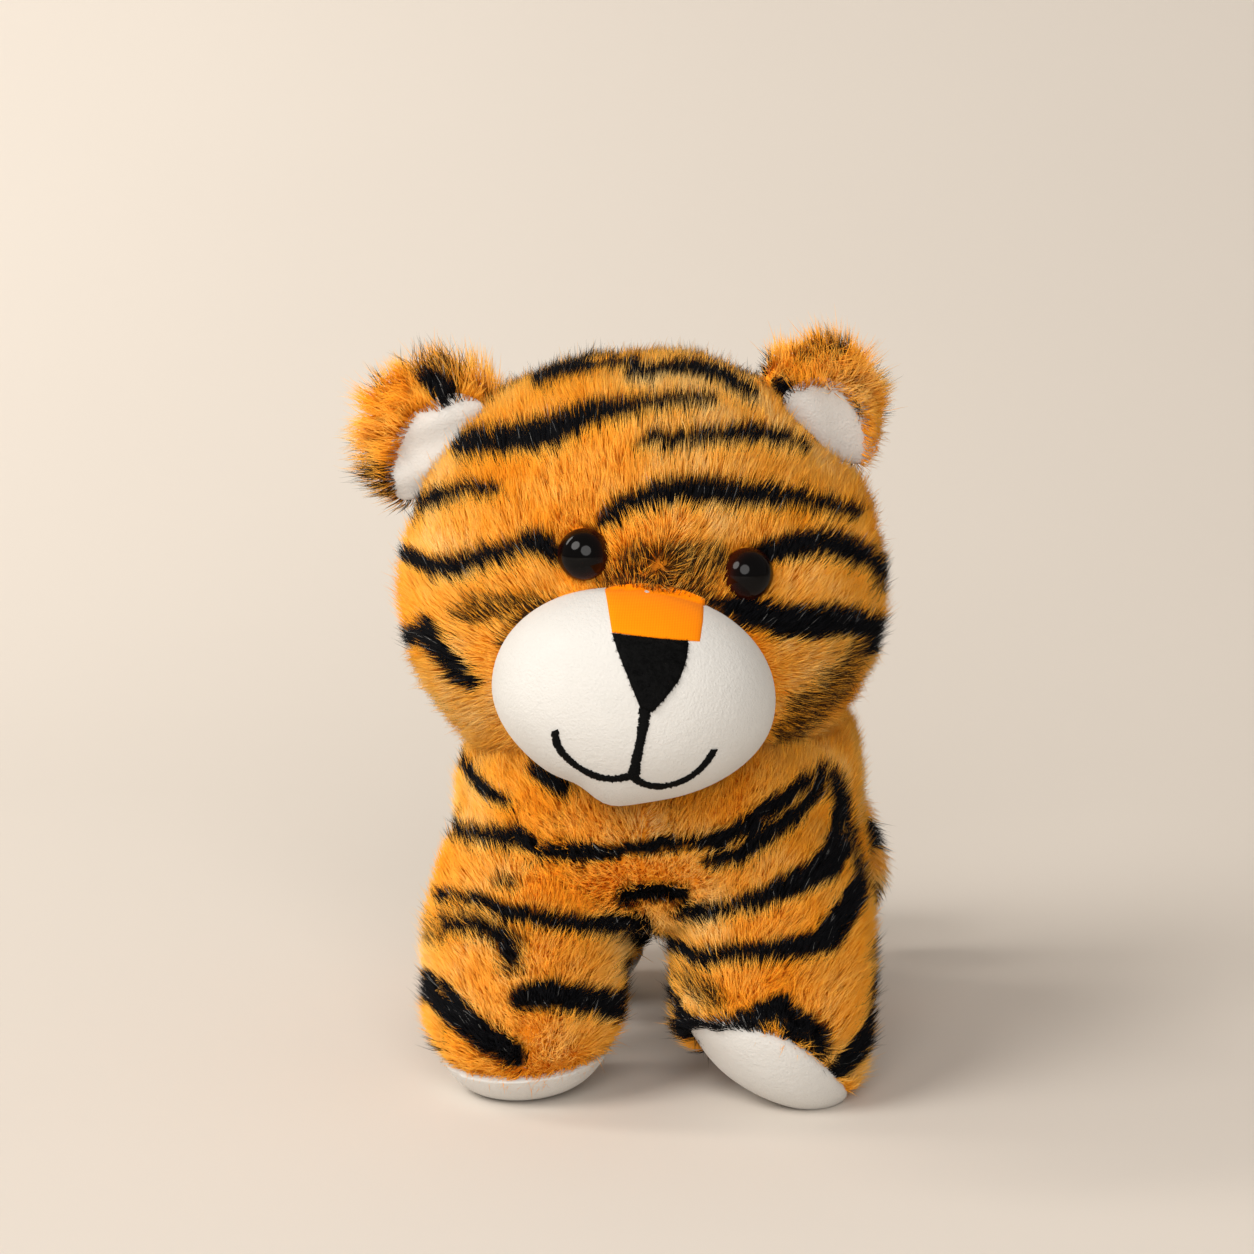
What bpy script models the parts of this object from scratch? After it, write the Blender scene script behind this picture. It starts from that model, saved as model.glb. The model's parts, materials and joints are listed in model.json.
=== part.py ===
"""A small standing plush tiger, built as it is sewn: covers, soles, fillings, eyes and their washers.

It faces -Y and stands on Z = 0. Metres, +Z up. Every cover is a real shell round its filling,
open where the real one is open: at the neck, under the muzzle and where a leg joins the body.
"""

import math

import bmesh
import bpy
from mathutils import Matrix, Vector

# Clearances and cloth
GAP = 0.0003  # between two sewn or seated pieces
FUR_CLOTH = 0.0080  # backing and pile of the fur fabric
SHORT_CLOTH = 0.0030  # backing and pile of the smooth white fabric
FLAT_CUT = 0.0005  # depth of the flat that the weight presses into each sole
OVERRUN = 0.0200  # how far a cutter runs past what it cuts

# Head, measured from its centre
HEAD_HALF_WIDTH = 0.0600
HEAD_HALF_DEPTH = 0.0500
HEAD_CROWN = 0.0585
HEAD_JAW = 0.0500
CROWN_ROUND_SHARE = 0.85
JAW_ROUND_SHARE = 0.75
NECK_ROUND_SHARE = 0.12
HEAD_OVER_NECK = 0.0370
HEAD_YAW = math.radians(5)
FACE_ROLL = math.radians(7.3)

# Neck: the head turns and nods on the wad of fibre that fills the sewn neck
NECK_X = -0.0030
NECK_Y = -0.0100
NECK_OVER_BODY = 0.0170  # from the middle of the body's height to the pivot
NOD_LIMIT = math.radians(6)
TURN_RIGHT_LIMIT = math.radians(-25)
TURN_LEFT_LIMIT = math.radians(20)
CHIN_STEPS = 4
CHIN_ROOM = 0.0008
NECK_RELIEF = 0.0018
TURN_ROOM_SHARE = 1.04
WAD_RADIUS = 0.0120
WAD_STEM_RADIUS = 0.0070
WAD_STEM_LENGTH = 0.0230
NECK_OPENING_RADIUS = 0.0140

# Body, a barrel along Y
BODY_LENGTH = 0.1400
BODY_HALF_WIDTH = 0.0535
BODY_HALF_HEIGHT = 0.0320
BODY_CENTRE_Z = 0.0700
CHEST_Y = -0.0520
BODY_ROUND_SHARE = 0.52
BODY_SQUARE_SHARE = 0.80
WAIST_SHARE = 0.05
RUMP_TAPER_SHARE = 0.03

# Chest and belly gusset, a strip between the two side panels
GUSSET_CHEST_HALF = 0.0110
GUSSET_BELLY_HALF = 0.0045
GUSSET_TOP_Z = 0.0840
GUSSET_END_INSET = 0.0280  # from the body's rear end

# Legs, each a column that rounds over into the body
LEG_HALF_WIDTH = 0.0255
LEG_HALF_DEPTH = 0.0260
LEG_RISE = 0.0470
LEG_FALL = 0.0275
LEG_TOP_ROUND_SHARE = 0.55
LEG_FOOT_ROUND_SHARE = 0.62
ROLL_FADE_SHARE = 0.80
FRONT_LEG_X = 0.0305
FRONT_LEG_Y = -0.0295
REAR_LEG_X = 0.0290
REAR_LEG_INSET = 0.0280  # from the body's rear end to the middle of the leg
REAR_LEG_HALF_WIDTH = 0.0245
SOLE_RISE = 0.0092
STRAIGHT_ROLL_SLOPE_SHARE = 0.06
STRAIGHT_PITCH_SLOPE_SHARE = 0.10
ROLLED_FOOT_SLOPE_SHARE = 0.40
ROLLED_PITCH_SLOPE_SHARE = -0.30  # the rolled foot shows its sole to the front
ROLLED_SOLE_RISE = 0.0110

# Muzzle, in the face frame
MUZZLE_HALF_WIDTH = 0.0335
MUZZLE_HALF_HEIGHT = 0.0250
MUZZLE_HALF_DEPTH = 0.0270
MUZZLE_SINK = 0.0040  # how far its middle lies behind the front of the head
MUZZLE_Z = -0.0186
MUZZLE_SQUARE_SHARE = 0.96
MUZZLE_ROUND_SHARE = 0.90
NOSE_TOP_Z = -0.0015
NOSE_HEIGHT = 0.0165
NOSE_HALF_WIDTH = 0.0093
NOSE_TIP_HALF_WIDTH = 0.0022
BRIDGE_HALF_WIDTH = 0.0116
NOSE_X = 0.0020

# Eyes: a dome on a ridged shank, locked by a washer behind the cloth
EYE_SPACING = 0.0408
EYE_MIDDLE_X = 0.0039
EYE_Z = 0.0131
EYE_RADIUS = 0.0062
EYE_DOME = 0.0050
EYE_RIM = 0.0010
EYE_SEAT_DEPTH = 0.0042
SHANK_RADIUS = 0.0021
SHANK_RIDGE = 0.0004
SHANK_LENGTH = 0.0125
SHANK_RIDGES = 3
WASHER_RADIUS = 0.0060
WASHER_THICKNESS = 0.0012

# Ears: a fur back folded over a smooth lining, hinged on its sewn base line
EAR_HALF_WIDTH = 0.0220
EAR_HALF_THICKNESS = 0.0080
EAR_HEIGHT = 0.0250
EAR_BEHIND = 0.0040
EAR_SEAT_DEPTH = 0.0010
EAR_FOLD_ROOM_SHARE = 1.30
RIGHT_EAR_ANGLE = math.radians(36)
LEFT_EAR_ANGLE = math.radians(44)
EAR_LEAN = math.radians(6)
RIGHT_EAR_TWIST = math.radians(-14)
LEFT_EAR_TWIST = math.radians(22)
LINING_HALF_WIDTH = 0.0165
LINING_HALF_THICKNESS = 0.0026
LINING_HALF_HEIGHT = 0.0125
LINING_RISE = 0.0010
LINING_BASE = 0.0010
LINING_FORWARD = 0.0060

# Tail, a stuffed tube that bends round to the animal's left and hangs beside the haunch
TAIL_RADIUS = 0.0100
TAIL_TIP_SHARE = 0.80
TAIL_SWELL_SHARE = 0.10
TAIL_ROOT_Z = 0.0620
TAIL_ROOT_BEHIND = 0.0020  # behind the body's rear end
TAIL_BACK = 0.0170
TAIL_OUT = 0.0480
TAIL_DROP = 0.0400
TAIL_STRAIGHT_SHARE = 0.45  # of the length, in which it leaves the body
TAIL_OUT_POWER_SHARE = 1.50
TAIL_DROP_POWER_SHARE = 1.15

HEAD_SEGMENTS = 24
HEAD_RINGS = 13
BODY_SEGMENTS = 24
BODY_RINGS = 12
LEG_SEGMENTS = 14
LEG_RINGS = 8
MUZZLE_SEGMENTS = 18
CORE_SEGMENTS = 12
CORE_RINGS = 7
SMALL_SEGMENTS = 12
SMALL_RINGS = 6
TURNED_SEGMENTS = 16
TAIL_SEGMENTS = 10
TAIL_STEPS = 10


def clear_scene():
    for thing in list(bpy.data.objects):
        bpy.data.objects.remove(thing, do_unlink=True)


def material(name, colour, roughness, metallic=0.0):
    made = bpy.data.materials.new(name)
    made.use_nodes = True
    shader = made.node_tree.nodes["Principled BSDF"]
    shader.inputs["Base Color"].default_value = (*colour, 1.0)
    shader.inputs["Roughness"].default_value = roughness
    shader.inputs["Metallic"].default_value = metallic
    made.diffuse_color = (*colour, 1.0)
    return made


def place(name, mesh, finish, parent=None, location=(0, 0, 0), rotation=None):
    """Links a mesh as an object, in its parent's frame."""
    thing = bpy.data.objects.new(name, mesh)
    bpy.context.scene.collection.objects.link(thing)
    thing.parent = parent
    thing.location = location
    if rotation is not None:
        thing.rotation_euler = rotation
    if finish is not None:
        mesh.materials.append(finish)
    return thing


def empty(name, location, rotation=(0, 0, 0), parent=None):
    made = bpy.data.objects.new(name, None)
    bpy.context.scene.collection.objects.link(made)
    made.location = location
    made.rotation_euler = rotation
    made.parent = parent
    return made


def as_cutter(thing):
    thing.hide_render = True
    thing.display_type = "WIRE"
    return thing


def cut(thing, cutter, operation="DIFFERENCE"):
    made = thing.modifiers.new(cutter.name, "BOOLEAN")
    made.operation = operation
    made.object = cutter
    made.solver = "EXACT"


def signed_power(value, power):
    return math.copysign(abs(value) ** power, value)


def closed_rings(name, rings):
    """A closed mesh through rings of equal counts; the first and the last are single points."""
    mesh = bmesh.new()
    rows = [[mesh.verts.new(point) for point in ring] for ring in rings]
    count = len(rows[1])
    for k in range(count):
        after = (k + 1) % count
        mesh.faces.new((rows[0][0], rows[1][after], rows[1][k]))
        mesh.faces.new((rows[-1][0], rows[-2][k], rows[-2][after]))
        for low, high in zip(rows[1:-2], rows[2:-1]):
            mesh.faces.new((low[k], low[after], high[after], high[k]))
    bmesh.ops.recalc_face_normals(mesh, faces=mesh.faces)
    data = bpy.data.meshes.new(name)
    mesh.to_mesh(data)
    mesh.free()
    data.shade_smooth()
    return data


def soft_form(name, half_width, half_depth, up, down, segments, rings, up_power=1.0,
              down_power=1.0, square_power=1.0, shape=None):
    """A stuffed form that swells and tapers: rings along Z, each a rounded oval, closed by a pole."""
    made = []
    for i in range(rings + 1):
        angle = math.pi * (i / rings - 1 / 2)
        above = angle > 0
        height = (up if above else down) * math.sin(angle)
        share = max(0.0, math.cos(angle)) ** (up_power if above else down_power)
        if i in (0, rings):
            ring = [Vector((0, 0, height))]
        else:
            ring = []
            for k in range(segments):
                turn = 2 * math.pi * k / segments
                across = half_width * share * signed_power(math.cos(turn), square_power)
                along = half_depth * share * signed_power(math.sin(turn), square_power)
                ring.append(Vector((across, along, height)))
        if shape is not None:
            ring = [shape(point, math.sin(angle)) for point in ring]
        made.append(ring)
    return closed_rings(name, made)


def turned(name, profile, segments):
    """A solid of revolution about Z; the profile runs from its lower axis point to its upper one."""
    rings = [[Vector((0, 0, profile[0][1]))]]
    for radius, height in profile[1:-1]:
        turns = [2 * math.pi * k / segments for k in range(segments)]
        rings.append([Vector((radius * math.cos(t), radius * math.sin(t), height)) for t in turns])
    rings.append([Vector((0, 0, profile[-1][1]))])
    return closed_rings(name, rings)


def prism(name, outline, near, far):
    """The outline, in X and Z, extruded along Y from near to far."""
    mesh = bmesh.new()
    front = [mesh.verts.new((x, near, z)) for x, z in outline]
    back = [mesh.verts.new((x, far, z)) for x, z in outline]
    mesh.faces.new(front)
    mesh.faces.new(back[::-1])
    for k in range(len(outline)):
        after = (k + 1) % len(outline)
        mesh.faces.new((front[k], back[k], back[after], front[after]))
    bmesh.ops.recalc_face_normals(mesh, faces=mesh.faces)
    data = bpy.data.meshes.new(name)
    mesh.to_mesh(data)
    mesh.free()
    return data


def lid_box(name, half, thickness):
    """A square slab whose top face lies at Z = 0."""
    corners = [(-half, -thickness), (half, -thickness), (half, 0), (-half, 0)]
    return prism(name, corners, -half, half)


def head_form(name, grow, segments=HEAD_SEGMENTS, rings=HEAD_RINGS):
    """The head about the neck pivot; its underside is rounder in plan than its crown."""

    def rounder(point, rise):
        widen = 1 + NECK_ROUND_SHARE * max(0.0, -rise)
        return Vector((point.x, point.y * widen, point.z + HEAD_OVER_NECK))

    return soft_form(name, HEAD_HALF_WIDTH + grow, HEAD_HALF_DEPTH + grow, HEAD_CROWN + grow,
                     HEAD_JAW + grow, segments, rings, CROWN_ROUND_SHARE, JAW_ROUND_SHARE, 1.0, rounder)


def head_depth_at(x, z):
    """How far the head's surface lies in front of its centre, at a place seen from the front."""
    rise = z / (HEAD_CROWN if z > 0 else HEAD_JAW)
    power = CROWN_ROUND_SHARE if z > 0 else JAW_ROUND_SHARE
    share = math.sqrt(1 - rise * rise) ** power
    across = x / (HEAD_HALF_WIDTH * share)
    widen = 1 + NECK_ROUND_SHARE * max(0.0, -rise)
    return HEAD_HALF_DEPTH * share * widen * math.sqrt(max(0.0, 1 - across * across))


def head_side_at(angle, behind):
    """The place on the head's outline, seen from the front, in the direction of that angle."""
    low, high = 0.0, math.pi / 2
    for _ in range(40):
        middle = (low + high) / 2
        share = math.cos(middle) ** CROWN_ROUND_SHARE
        inset = math.sqrt(max(0.0, 1 - (behind / (HEAD_HALF_DEPTH * share)) ** 2))
        x, z = HEAD_HALF_WIDTH * share * inset, HEAD_CROWN * math.sin(middle)
        if math.atan2(z, x) < angle:
            low = middle
        else:
            high = middle
    return x, z


def body_form(name, grow, segments=BODY_SEGMENTS, rings=BODY_RINGS):
    """The body's barrel along Y: full at the chest and the haunches, a little drawn in at the waist."""
    middle_y = CHEST_Y + BODY_LENGTH / 2

    def lay_down(point, rise):
        swell = 1 - WAIST_SHARE * (1 - rise * rise) ** 2 - RUMP_TAPER_SHARE * rise
        return Vector((point.x * swell, middle_y + point.z, BODY_CENTRE_Z + point.y * swell))

    return soft_form(name, BODY_HALF_WIDTH + grow, BODY_HALF_HEIGHT + grow, BODY_LENGTH / 2 + grow,
                     BODY_LENGTH / 2 + grow, segments, rings, BODY_ROUND_SHARE, BODY_ROUND_SHARE,
                     BODY_SQUARE_SHARE, lay_down)


def leg_form(name, half_width, grow, low_grow, slope, segments=LEG_SEGMENTS, rings=LEG_RINGS):
    """A leg about its own middle; slope raises the foot's inner side, at -X here, as on a rolled foot."""
    half = half_width + grow
    fall = LEG_FALL + low_grow
    lowest = math.hypot(LEG_FALL, half_width * slope) - LEG_FALL

    def roll(point, rise):
        share = min(1.0, max(0.0, -rise) / ROLL_FADE_SHARE)
        lift = (lowest - point.x * slope) * share * share * (3 - 2 * share)
        return Vector((point.x, point.y, point.z + lift + LEG_FALL - FLAT_CUT))

    return soft_form(name, half, LEG_HALF_DEPTH + grow, LEG_RISE + grow, fall, segments, rings,
                     LEG_TOP_ROUND_SHARE, LEG_FOOT_ROUND_SHARE, 1.0, roll)


def fill_finishes():
    return {
        "fur": material("tiger_fur", (0.80, 0.31, 0.035), 0.95),
        "velboa": material("white_velboa", (0.86, 0.80, 0.72), 0.9),
        "bridge": material("orange_jersey", (1.0, 0.30, 0.005), 0.85),
        "nose": material("black_felt", (0.006, 0.006, 0.006), 0.9),
        "eye": material("eye_plastic", (0.008, 0.005, 0.004), 0.08),
        "washer": material("washer_plastic", (0.75, 0.75, 0.72), 0.45),
        "fibre": material("polyester_fibre", (0.82, 0.82, 0.80), 1.0),
    }


def build_body(finish):
    body_shape = as_cutter(place("body_shape", body_form("body_shape", GAP), None))
    inner = (CORE_SEGMENTS, CORE_RINGS)
    body_room = as_cutter(place("body_room", body_form("body_room", -FUR_CLOTH, *inner), None))
    neck = empty("neck_joint", (NECK_X, NECK_Y, BODY_CENTRE_Z + NECK_OVER_BODY))

    cup = build_neck_cup(neck)
    socket = as_cutter(place("tail_socket", ball_room("tail_socket", TAIL_RADIUS), None, None,
                             tail_root()))
    slot = as_cutter(place("gusset_slot", gusset_prism("gusset_slot", 0.0), None))

    cover = place("body_cover", body_form("body_cover", 0.0), finish["fur"])
    chins = chin_rooms(neck)
    for cutter in (body_room, cup, socket, slot, *chins):
        cut(cover, cutter)

    gusset = place("belly_gusset", body_form("belly_gusset", 0.0), finish["fur"])
    strip = as_cutter(place("gusset_strip", gusset_prism("gusset_strip", -GAP), None))
    cut(gusset, strip, "INTERSECT")
    for cutter in (body_room, cup, *chins):
        cut(gusset, cutter)

    filling = place("body_filling", body_form("body_filling", -FUR_CLOTH - GAP, *inner), finish["fibre"])
    stem_profile = [(0, -WAD_STEM_LENGTH - GAP), (WAD_STEM_RADIUS + GAP, -WAD_STEM_LENGTH - GAP),
                    (WAD_STEM_RADIUS + GAP, WAD_RADIUS), (0, WAD_RADIUS)]
    stem_hole = as_cutter(place("stem_hole", turned("stem_hole", stem_profile, SMALL_SEGMENTS), None, neck))
    for cutter in (cup, socket, stem_hole):
        cut(filling, cutter)
    return body_shape, neck


def ball_profile(radius):
    """A half circle of points, bottom to top."""
    steps = [math.pi * (k / SMALL_RINGS - 1 / 2) for k in range(SMALL_RINGS + 1)]
    return [(radius * math.cos(a), radius * math.sin(a)) for a in steps]


def ball_room(name, radius):
    """A ball-shaped cutter whose flat facets all lie outside a ball of that radius."""
    outside = math.cos(math.pi / TURNED_SEGMENTS) * math.cos(math.pi / (2 * SMALL_RINGS))
    return turned(name, ball_profile((radius + GAP) / outside), TURNED_SEGMENTS)


def build_neck_cup(neck):
    """The hollow between the shoulders: the head's underside, with room for it to rock and turn."""
    slip = HEAD_OVER_NECK * math.sin(NOD_LIMIT)
    room = slip + NECK_RELIEF
    drop = NECK_RELIEF + GAP

    def lift(point, rise):
        widen = 1 + NECK_ROUND_SHARE * max(0.0, -rise)
        return Vector((point.x, point.y * widen * TURN_ROOM_SHARE, point.z + HEAD_OVER_NECK))

    shape = soft_form("neck_cup", HEAD_HALF_WIDTH + room, HEAD_HALF_DEPTH + room, HEAD_CROWN,
                      HEAD_JAW + drop, HEAD_SEGMENTS, HEAD_RINGS, CROWN_ROUND_SHARE,
                      JAW_ROUND_SHARE, 1.0, lift)
    return as_cutter(place("neck_cup", shape, None, neck, (0, 0, 0), (0, 0, HEAD_YAW)))


def gusset_prism(name, grow):
    """The strip's outline from the front: wide on the chest, narrow between the legs."""
    top = GUSSET_TOP_Z + grow
    belly = BODY_CENTRE_Z - BODY_HALF_HEIGHT
    wide, narrow = GUSSET_CHEST_HALF + grow, GUSSET_BELLY_HALF + grow
    outline = [(-narrow, belly - OVERRUN), (narrow, belly - OVERRUN), (narrow, belly), (wide, top),
               (-wide, top), (-narrow, belly)]
    return prism(name, outline, CHEST_Y - OVERRUN, CHEST_Y + BODY_LENGTH - GUSSET_END_INSET + grow)


def build_neck_wad(neck, finish):
    """The wad of fibre in the neck: a ball that the head rocks on, and a stem down into the body."""
    start = math.acos(WAD_STEM_RADIUS / WAD_RADIUS)
    arc = [-start + (math.pi / 2 + start) * k / SMALL_RINGS for k in range(SMALL_RINGS + 1)]
    profile = [(0, -WAD_STEM_LENGTH), (WAD_STEM_RADIUS, -WAD_STEM_LENGTH)]
    profile += [(WAD_RADIUS * math.cos(a), WAD_RADIUS * math.sin(a)) for a in arc]
    place("neck_filling", turned("neck_filling", profile, SMALL_SEGMENTS), finish["fibre"], neck)


def build_leg(name, x, y, half_width, foot, body_shape, finish):
    """One leg: the fur cover, the smooth sole below its seam, and the filling."""
    slope, pitch_slope, sole_rise = foot
    side = math.copysign(1, x)
    spot = (x, y, 0)
    mirror = (side, 1, 1)

    def leg_object(part, grow, low_grow, paint, segments=LEG_SEGMENTS, rings=LEG_RINGS):
        shape = leg_form(part, half_width, grow, low_grow, slope, segments, rings)
        shape.transform(Matrix.Diagonal((*mirror, 1)))
        if side < 0:
            shape.flip_normals()
        return place(part, shape, paint, None, spot)

    room = as_cutter(leg_object(name + "_room", -FUR_CLOTH, -SHORT_CLOTH, None, CORE_SEGMENTS, CORE_RINGS))
    pitch = -math.atan(pitch_slope)
    tilt = side * math.atan(slope)
    reach = 2 * half_width
    seam = as_cutter(place(name + "_seam", lid_box(name + "_seam", reach, OVERRUN), None, None,
                           (x, y, sole_rise), (pitch, tilt, 0)))
    below = as_cutter(place(name + "_below", lid_box(name + "_below", reach, OVERRUN), None, None,
                            (x, y, sole_rise - GAP), (pitch, tilt, 0)))
    floor = lid_box(name + "_floor", reach, OVERRUN)
    floor = as_cutter(place(name + "_floor", floor, None, None, (x, y, 0)))

    cover = leg_object(name + "_cover", 0.0, 0.0, finish["fur"])
    for cutter in (room, seam, body_shape):
        cut(cover, cutter)
    sole = leg_object(name + "_sole", 0.0, 0.0, finish["velboa"])
    cut(sole, below, "INTERSECT")
    for cutter in (room, floor):
        cut(sole, cutter)
    filling = leg_object(name + "_filling", -FUR_CLOTH - GAP, -SHORT_CLOTH - GAP, finish["fibre"],
                         CORE_SEGMENTS, CORE_RINGS)
    cut(filling, body_shape)


def build_head(neck, finish):
    head = empty("head_joint", (0, 0, 0), (0, 0, HEAD_YAW), neck)
    face = empty("face_frame", (0, 0, HEAD_OVER_NECK), (0, FACE_ROLL, 0), head)

    inner = (CORE_SEGMENTS, CORE_RINGS)
    room = as_cutter(place("head_room", head_form("head_room", -FUR_CLOTH, *inner), None, head))
    opening = turned("neck_opening", [(0, -HEAD_JAW), (NECK_OPENING_RADIUS, -HEAD_JAW),
                                      (NECK_OPENING_RADIUS, 0), (0, 0)], TURNED_SEGMENTS)
    opening = as_cutter(place("neck_opening", opening, None, head))
    pocket = as_cutter(place("wad_pocket", ball_room("wad_pocket", WAD_RADIUS), None, head))

    cover = place("head_cover", head_form("head_cover", 0.0), finish["fur"], head)
    filling = head_form("head_filling", -FUR_CLOTH - GAP, *inner)
    filling = place("head_filling", filling, finish["fibre"], head)
    for cutter in (room, opening):
        cut(cover, cutter)
    cut(filling, pocket)
    build_muzzle(head, face, cover, room, finish)
    build_eyes(head, cover, filling, finish)
    build_ears(head, cover, filling, finish)


def muzzle_form(name, grow):
    """The muzzle's rounded oval, about its own middle, with its depth along Y."""

    def turn_forward(point, rise):
        return Vector((point.x, point.z, point.y))

    half = MUZZLE_HALF_DEPTH + grow
    return soft_form(name, MUZZLE_HALF_WIDTH + grow, MUZZLE_HALF_HEIGHT + grow, half, half,
                     MUZZLE_SEGMENTS, LEG_RINGS, MUZZLE_ROUND_SHARE, MUZZLE_ROUND_SHARE,
                     MUZZLE_SQUARE_SHARE, turn_forward)


def muzzle_spot():
    return (0, MUZZLE_SINK - HEAD_HALF_DEPTH, MUZZLE_Z)


def chin_rooms(neck):
    """Room in the chest for the chin: the muzzle with the head nodded down, at steps from turn to turn."""
    made = []
    for step in range(CHIN_STEPS + 1):
        turn = TURN_RIGHT_LIMIT + (TURN_LEFT_LIMIT - TURN_RIGHT_LIMIT) * step / CHIN_STEPS
        nodded = empty(f"nodded_head_{step}", (0, 0, 0), (NOD_LIMIT, 0, HEAD_YAW + turn), neck)
        face = empty(f"nodded_face_{step}", (0, 0, HEAD_OVER_NECK), (0, FACE_ROLL, 0), nodded)
        shape = muzzle_form(f"chin_room_{step}", CHIN_ROOM)
        made.append(as_cutter(place(f"chin_room_{step}", shape, None, face, muzzle_spot())))
    return made


def build_muzzle(head, face, cover, head_room, finish):
    """A white pouch on the front of the head, with the orange bridge and the black nose let into it."""
    spot = muzzle_spot()
    head_shape = as_cutter(place("head_shape", head_form("head_shape", GAP), None, head))
    room = as_cutter(place("muzzle_room", muzzle_form("muzzle_room", -SHORT_CLOTH), None, face, spot))
    cut(cover, room)

    near = spot[1] - MUZZLE_HALF_DEPTH - OVERRUN
    nose_low = NOSE_TOP_Z - NOSE_HEIGHT
    crest = MUZZLE_Z + MUZZLE_HALF_HEIGHT + OVERRUN

    def nose_outline(grow):
        wide, tip = NOSE_HALF_WIDTH + grow, NOSE_TIP_HALF_WIDTH + grow
        return [(NOSE_X - tip, nose_low - grow), (NOSE_X + tip, nose_low - grow),
                (NOSE_X + wide, NOSE_TOP_Z + grow), (NOSE_X - wide, NOSE_TOP_Z + grow)]

    def bridge_outline(grow):
        low, wide = NOSE_HALF_WIDTH + grow, BRIDGE_HALF_WIDTH + grow
        base = NOSE_TOP_Z + GAP - grow
        return [(NOSE_X - low, base), (NOSE_X + low, base), (NOSE_X + wide, crest), (NOSE_X - wide, crest)]

    pouch = place("muzzle_cover", muzzle_form("muzzle_cover", 0.0), finish["velboa"], face, spot)
    cut(pouch, room)
    cut(pouch, head_shape)
    for name, outline, paint in (("nose", nose_outline, "nose"), ("nose_bridge", bridge_outline, "bridge")):
        hole = prism(name + "_hole", outline(GAP), near, spot[1])
        hole = as_cutter(place(name + "_hole", hole, None, face))
        cut(pouch, hole)
        blank = place(name, muzzle_form(name, 0.0), finish[paint], face, spot)
        patch = prism(name + "_patch", outline(0.0), near, spot[1])
        patch = as_cutter(place(name + "_patch", patch, None, face))
        cut(blank, patch, "INTERSECT")
        cut(blank, room)
        cut(blank, head_shape)

    filling = muzzle_form("muzzle_filling", -SHORT_CLOTH - GAP)
    filling = place("muzzle_filling", filling, finish["fibre"], face, spot)
    cut(filling, head_room)


def build_eyes(head, cover, filling, finish):
    shank_end = -EYE_SEAT_DEPTH - SHANK_LENGTH
    dome_base = -EYE_SEAT_DEPTH
    washer_top = -FUR_CLOTH - GAP
    washer_low = washer_top - WASHER_THICKNESS

    eye_profile = [(0, shank_end), (SHANK_RADIUS - SHANK_RIDGE, shank_end)]
    pitch = (SHANK_LENGTH - EYE_RIM) / (SHANK_RIDGES + 1)
    for k in range(SHANK_RIDGES):
        eye_profile.append((SHANK_RADIUS, shank_end + pitch * (k + 1 / 2)))
        eye_profile.append((SHANK_RADIUS - SHANK_RIDGE, shank_end + pitch * (k + 1)))
    eye_profile.append((SHANK_RADIUS, dome_base))
    eye_profile.append((EYE_RADIUS, dome_base))
    dome_steps = 5
    for k in range(dome_steps):
        angle = math.pi / 2 * k / dome_steps
        eye_profile.append((EYE_RADIUS * math.cos(angle), dome_base + EYE_RIM + EYE_DOME * math.sin(angle)))
    eye_profile.append((0, dome_base + EYE_RIM + EYE_DOME))

    hole = SHANK_RADIUS + GAP
    wide = max(EYE_RADIUS, WASHER_RADIUS) + GAP
    room_profile = [(0, shank_end - GAP), (hole, shank_end - GAP), (hole, washer_low - GAP),
                    (WASHER_RADIUS + GAP, washer_low - GAP), (WASHER_RADIUS + GAP, washer_top + GAP),
                    (hole, washer_top + GAP), (hole, dome_base - GAP), (wide, dome_base - GAP),
                    (wide, OVERRUN), (0, OVERRUN)]

    for side, label in ((-1, "right"), (1, "left")):
        flat_x = EYE_MIDDLE_X + side * EYE_SPACING / 2
        x = flat_x * math.cos(FACE_ROLL) + EYE_Z * math.sin(FACE_ROLL)
        z = EYE_Z * math.cos(FACE_ROLL) - flat_x * math.sin(FACE_ROLL)
        y = -head_depth_at(x, z)
        outward = Vector((x / HEAD_HALF_WIDTH ** 2, y / HEAD_HALF_DEPTH ** 2, z / HEAD_CROWN ** 2))
        turn = outward.to_track_quat("Z", "Y").to_euler()
        spot = (x, y, z + HEAD_OVER_NECK)
        eye = turned(f"eye_{label}", eye_profile, TURNED_SEGMENTS)
        place(f"eye_{label}", eye, finish["eye"], head, spot, turn)
        cutter = turned(f"eye_room_{label}", room_profile, TURNED_SEGMENTS)
        cutter = as_cutter(place(f"eye_room_{label}", cutter, None, head, spot, turn))
        cut(cover, cutter)
        cut(filling, cutter)
        washer = washer_ring(f"eye_washer_{label}", hole, WASHER_RADIUS, washer_low, washer_top)
        washer = place(f"eye_washer_{label}", washer, finish["washer"], head, spot, turn)
        washer.data.shade_flat()


def washer_ring(name, inner, outer, low, high):
    """A flat ring with a round hole, from four circles."""
    mesh = bmesh.new()
    section = [(inner, low), (outer, low), (outer, high), (inner, high)]
    rows = []
    for k in range(TURNED_SEGMENTS):
        turn = 2 * math.pi * k / TURNED_SEGMENTS
        rows.append([mesh.verts.new((r * math.cos(turn), r * math.sin(turn), z)) for r, z in section])
    for k, row in enumerate(rows):
        after = rows[(k + 1) % len(rows)]
        for j in range(len(section)):
            beside = (j + 1) % len(section)
            mesh.faces.new((row[j], row[beside], after[beside], after[j]))
    bmesh.ops.recalc_face_normals(mesh, faces=mesh.faces)
    data = bpy.data.meshes.new(name)
    mesh.to_mesh(data)
    mesh.free()
    return data


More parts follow.
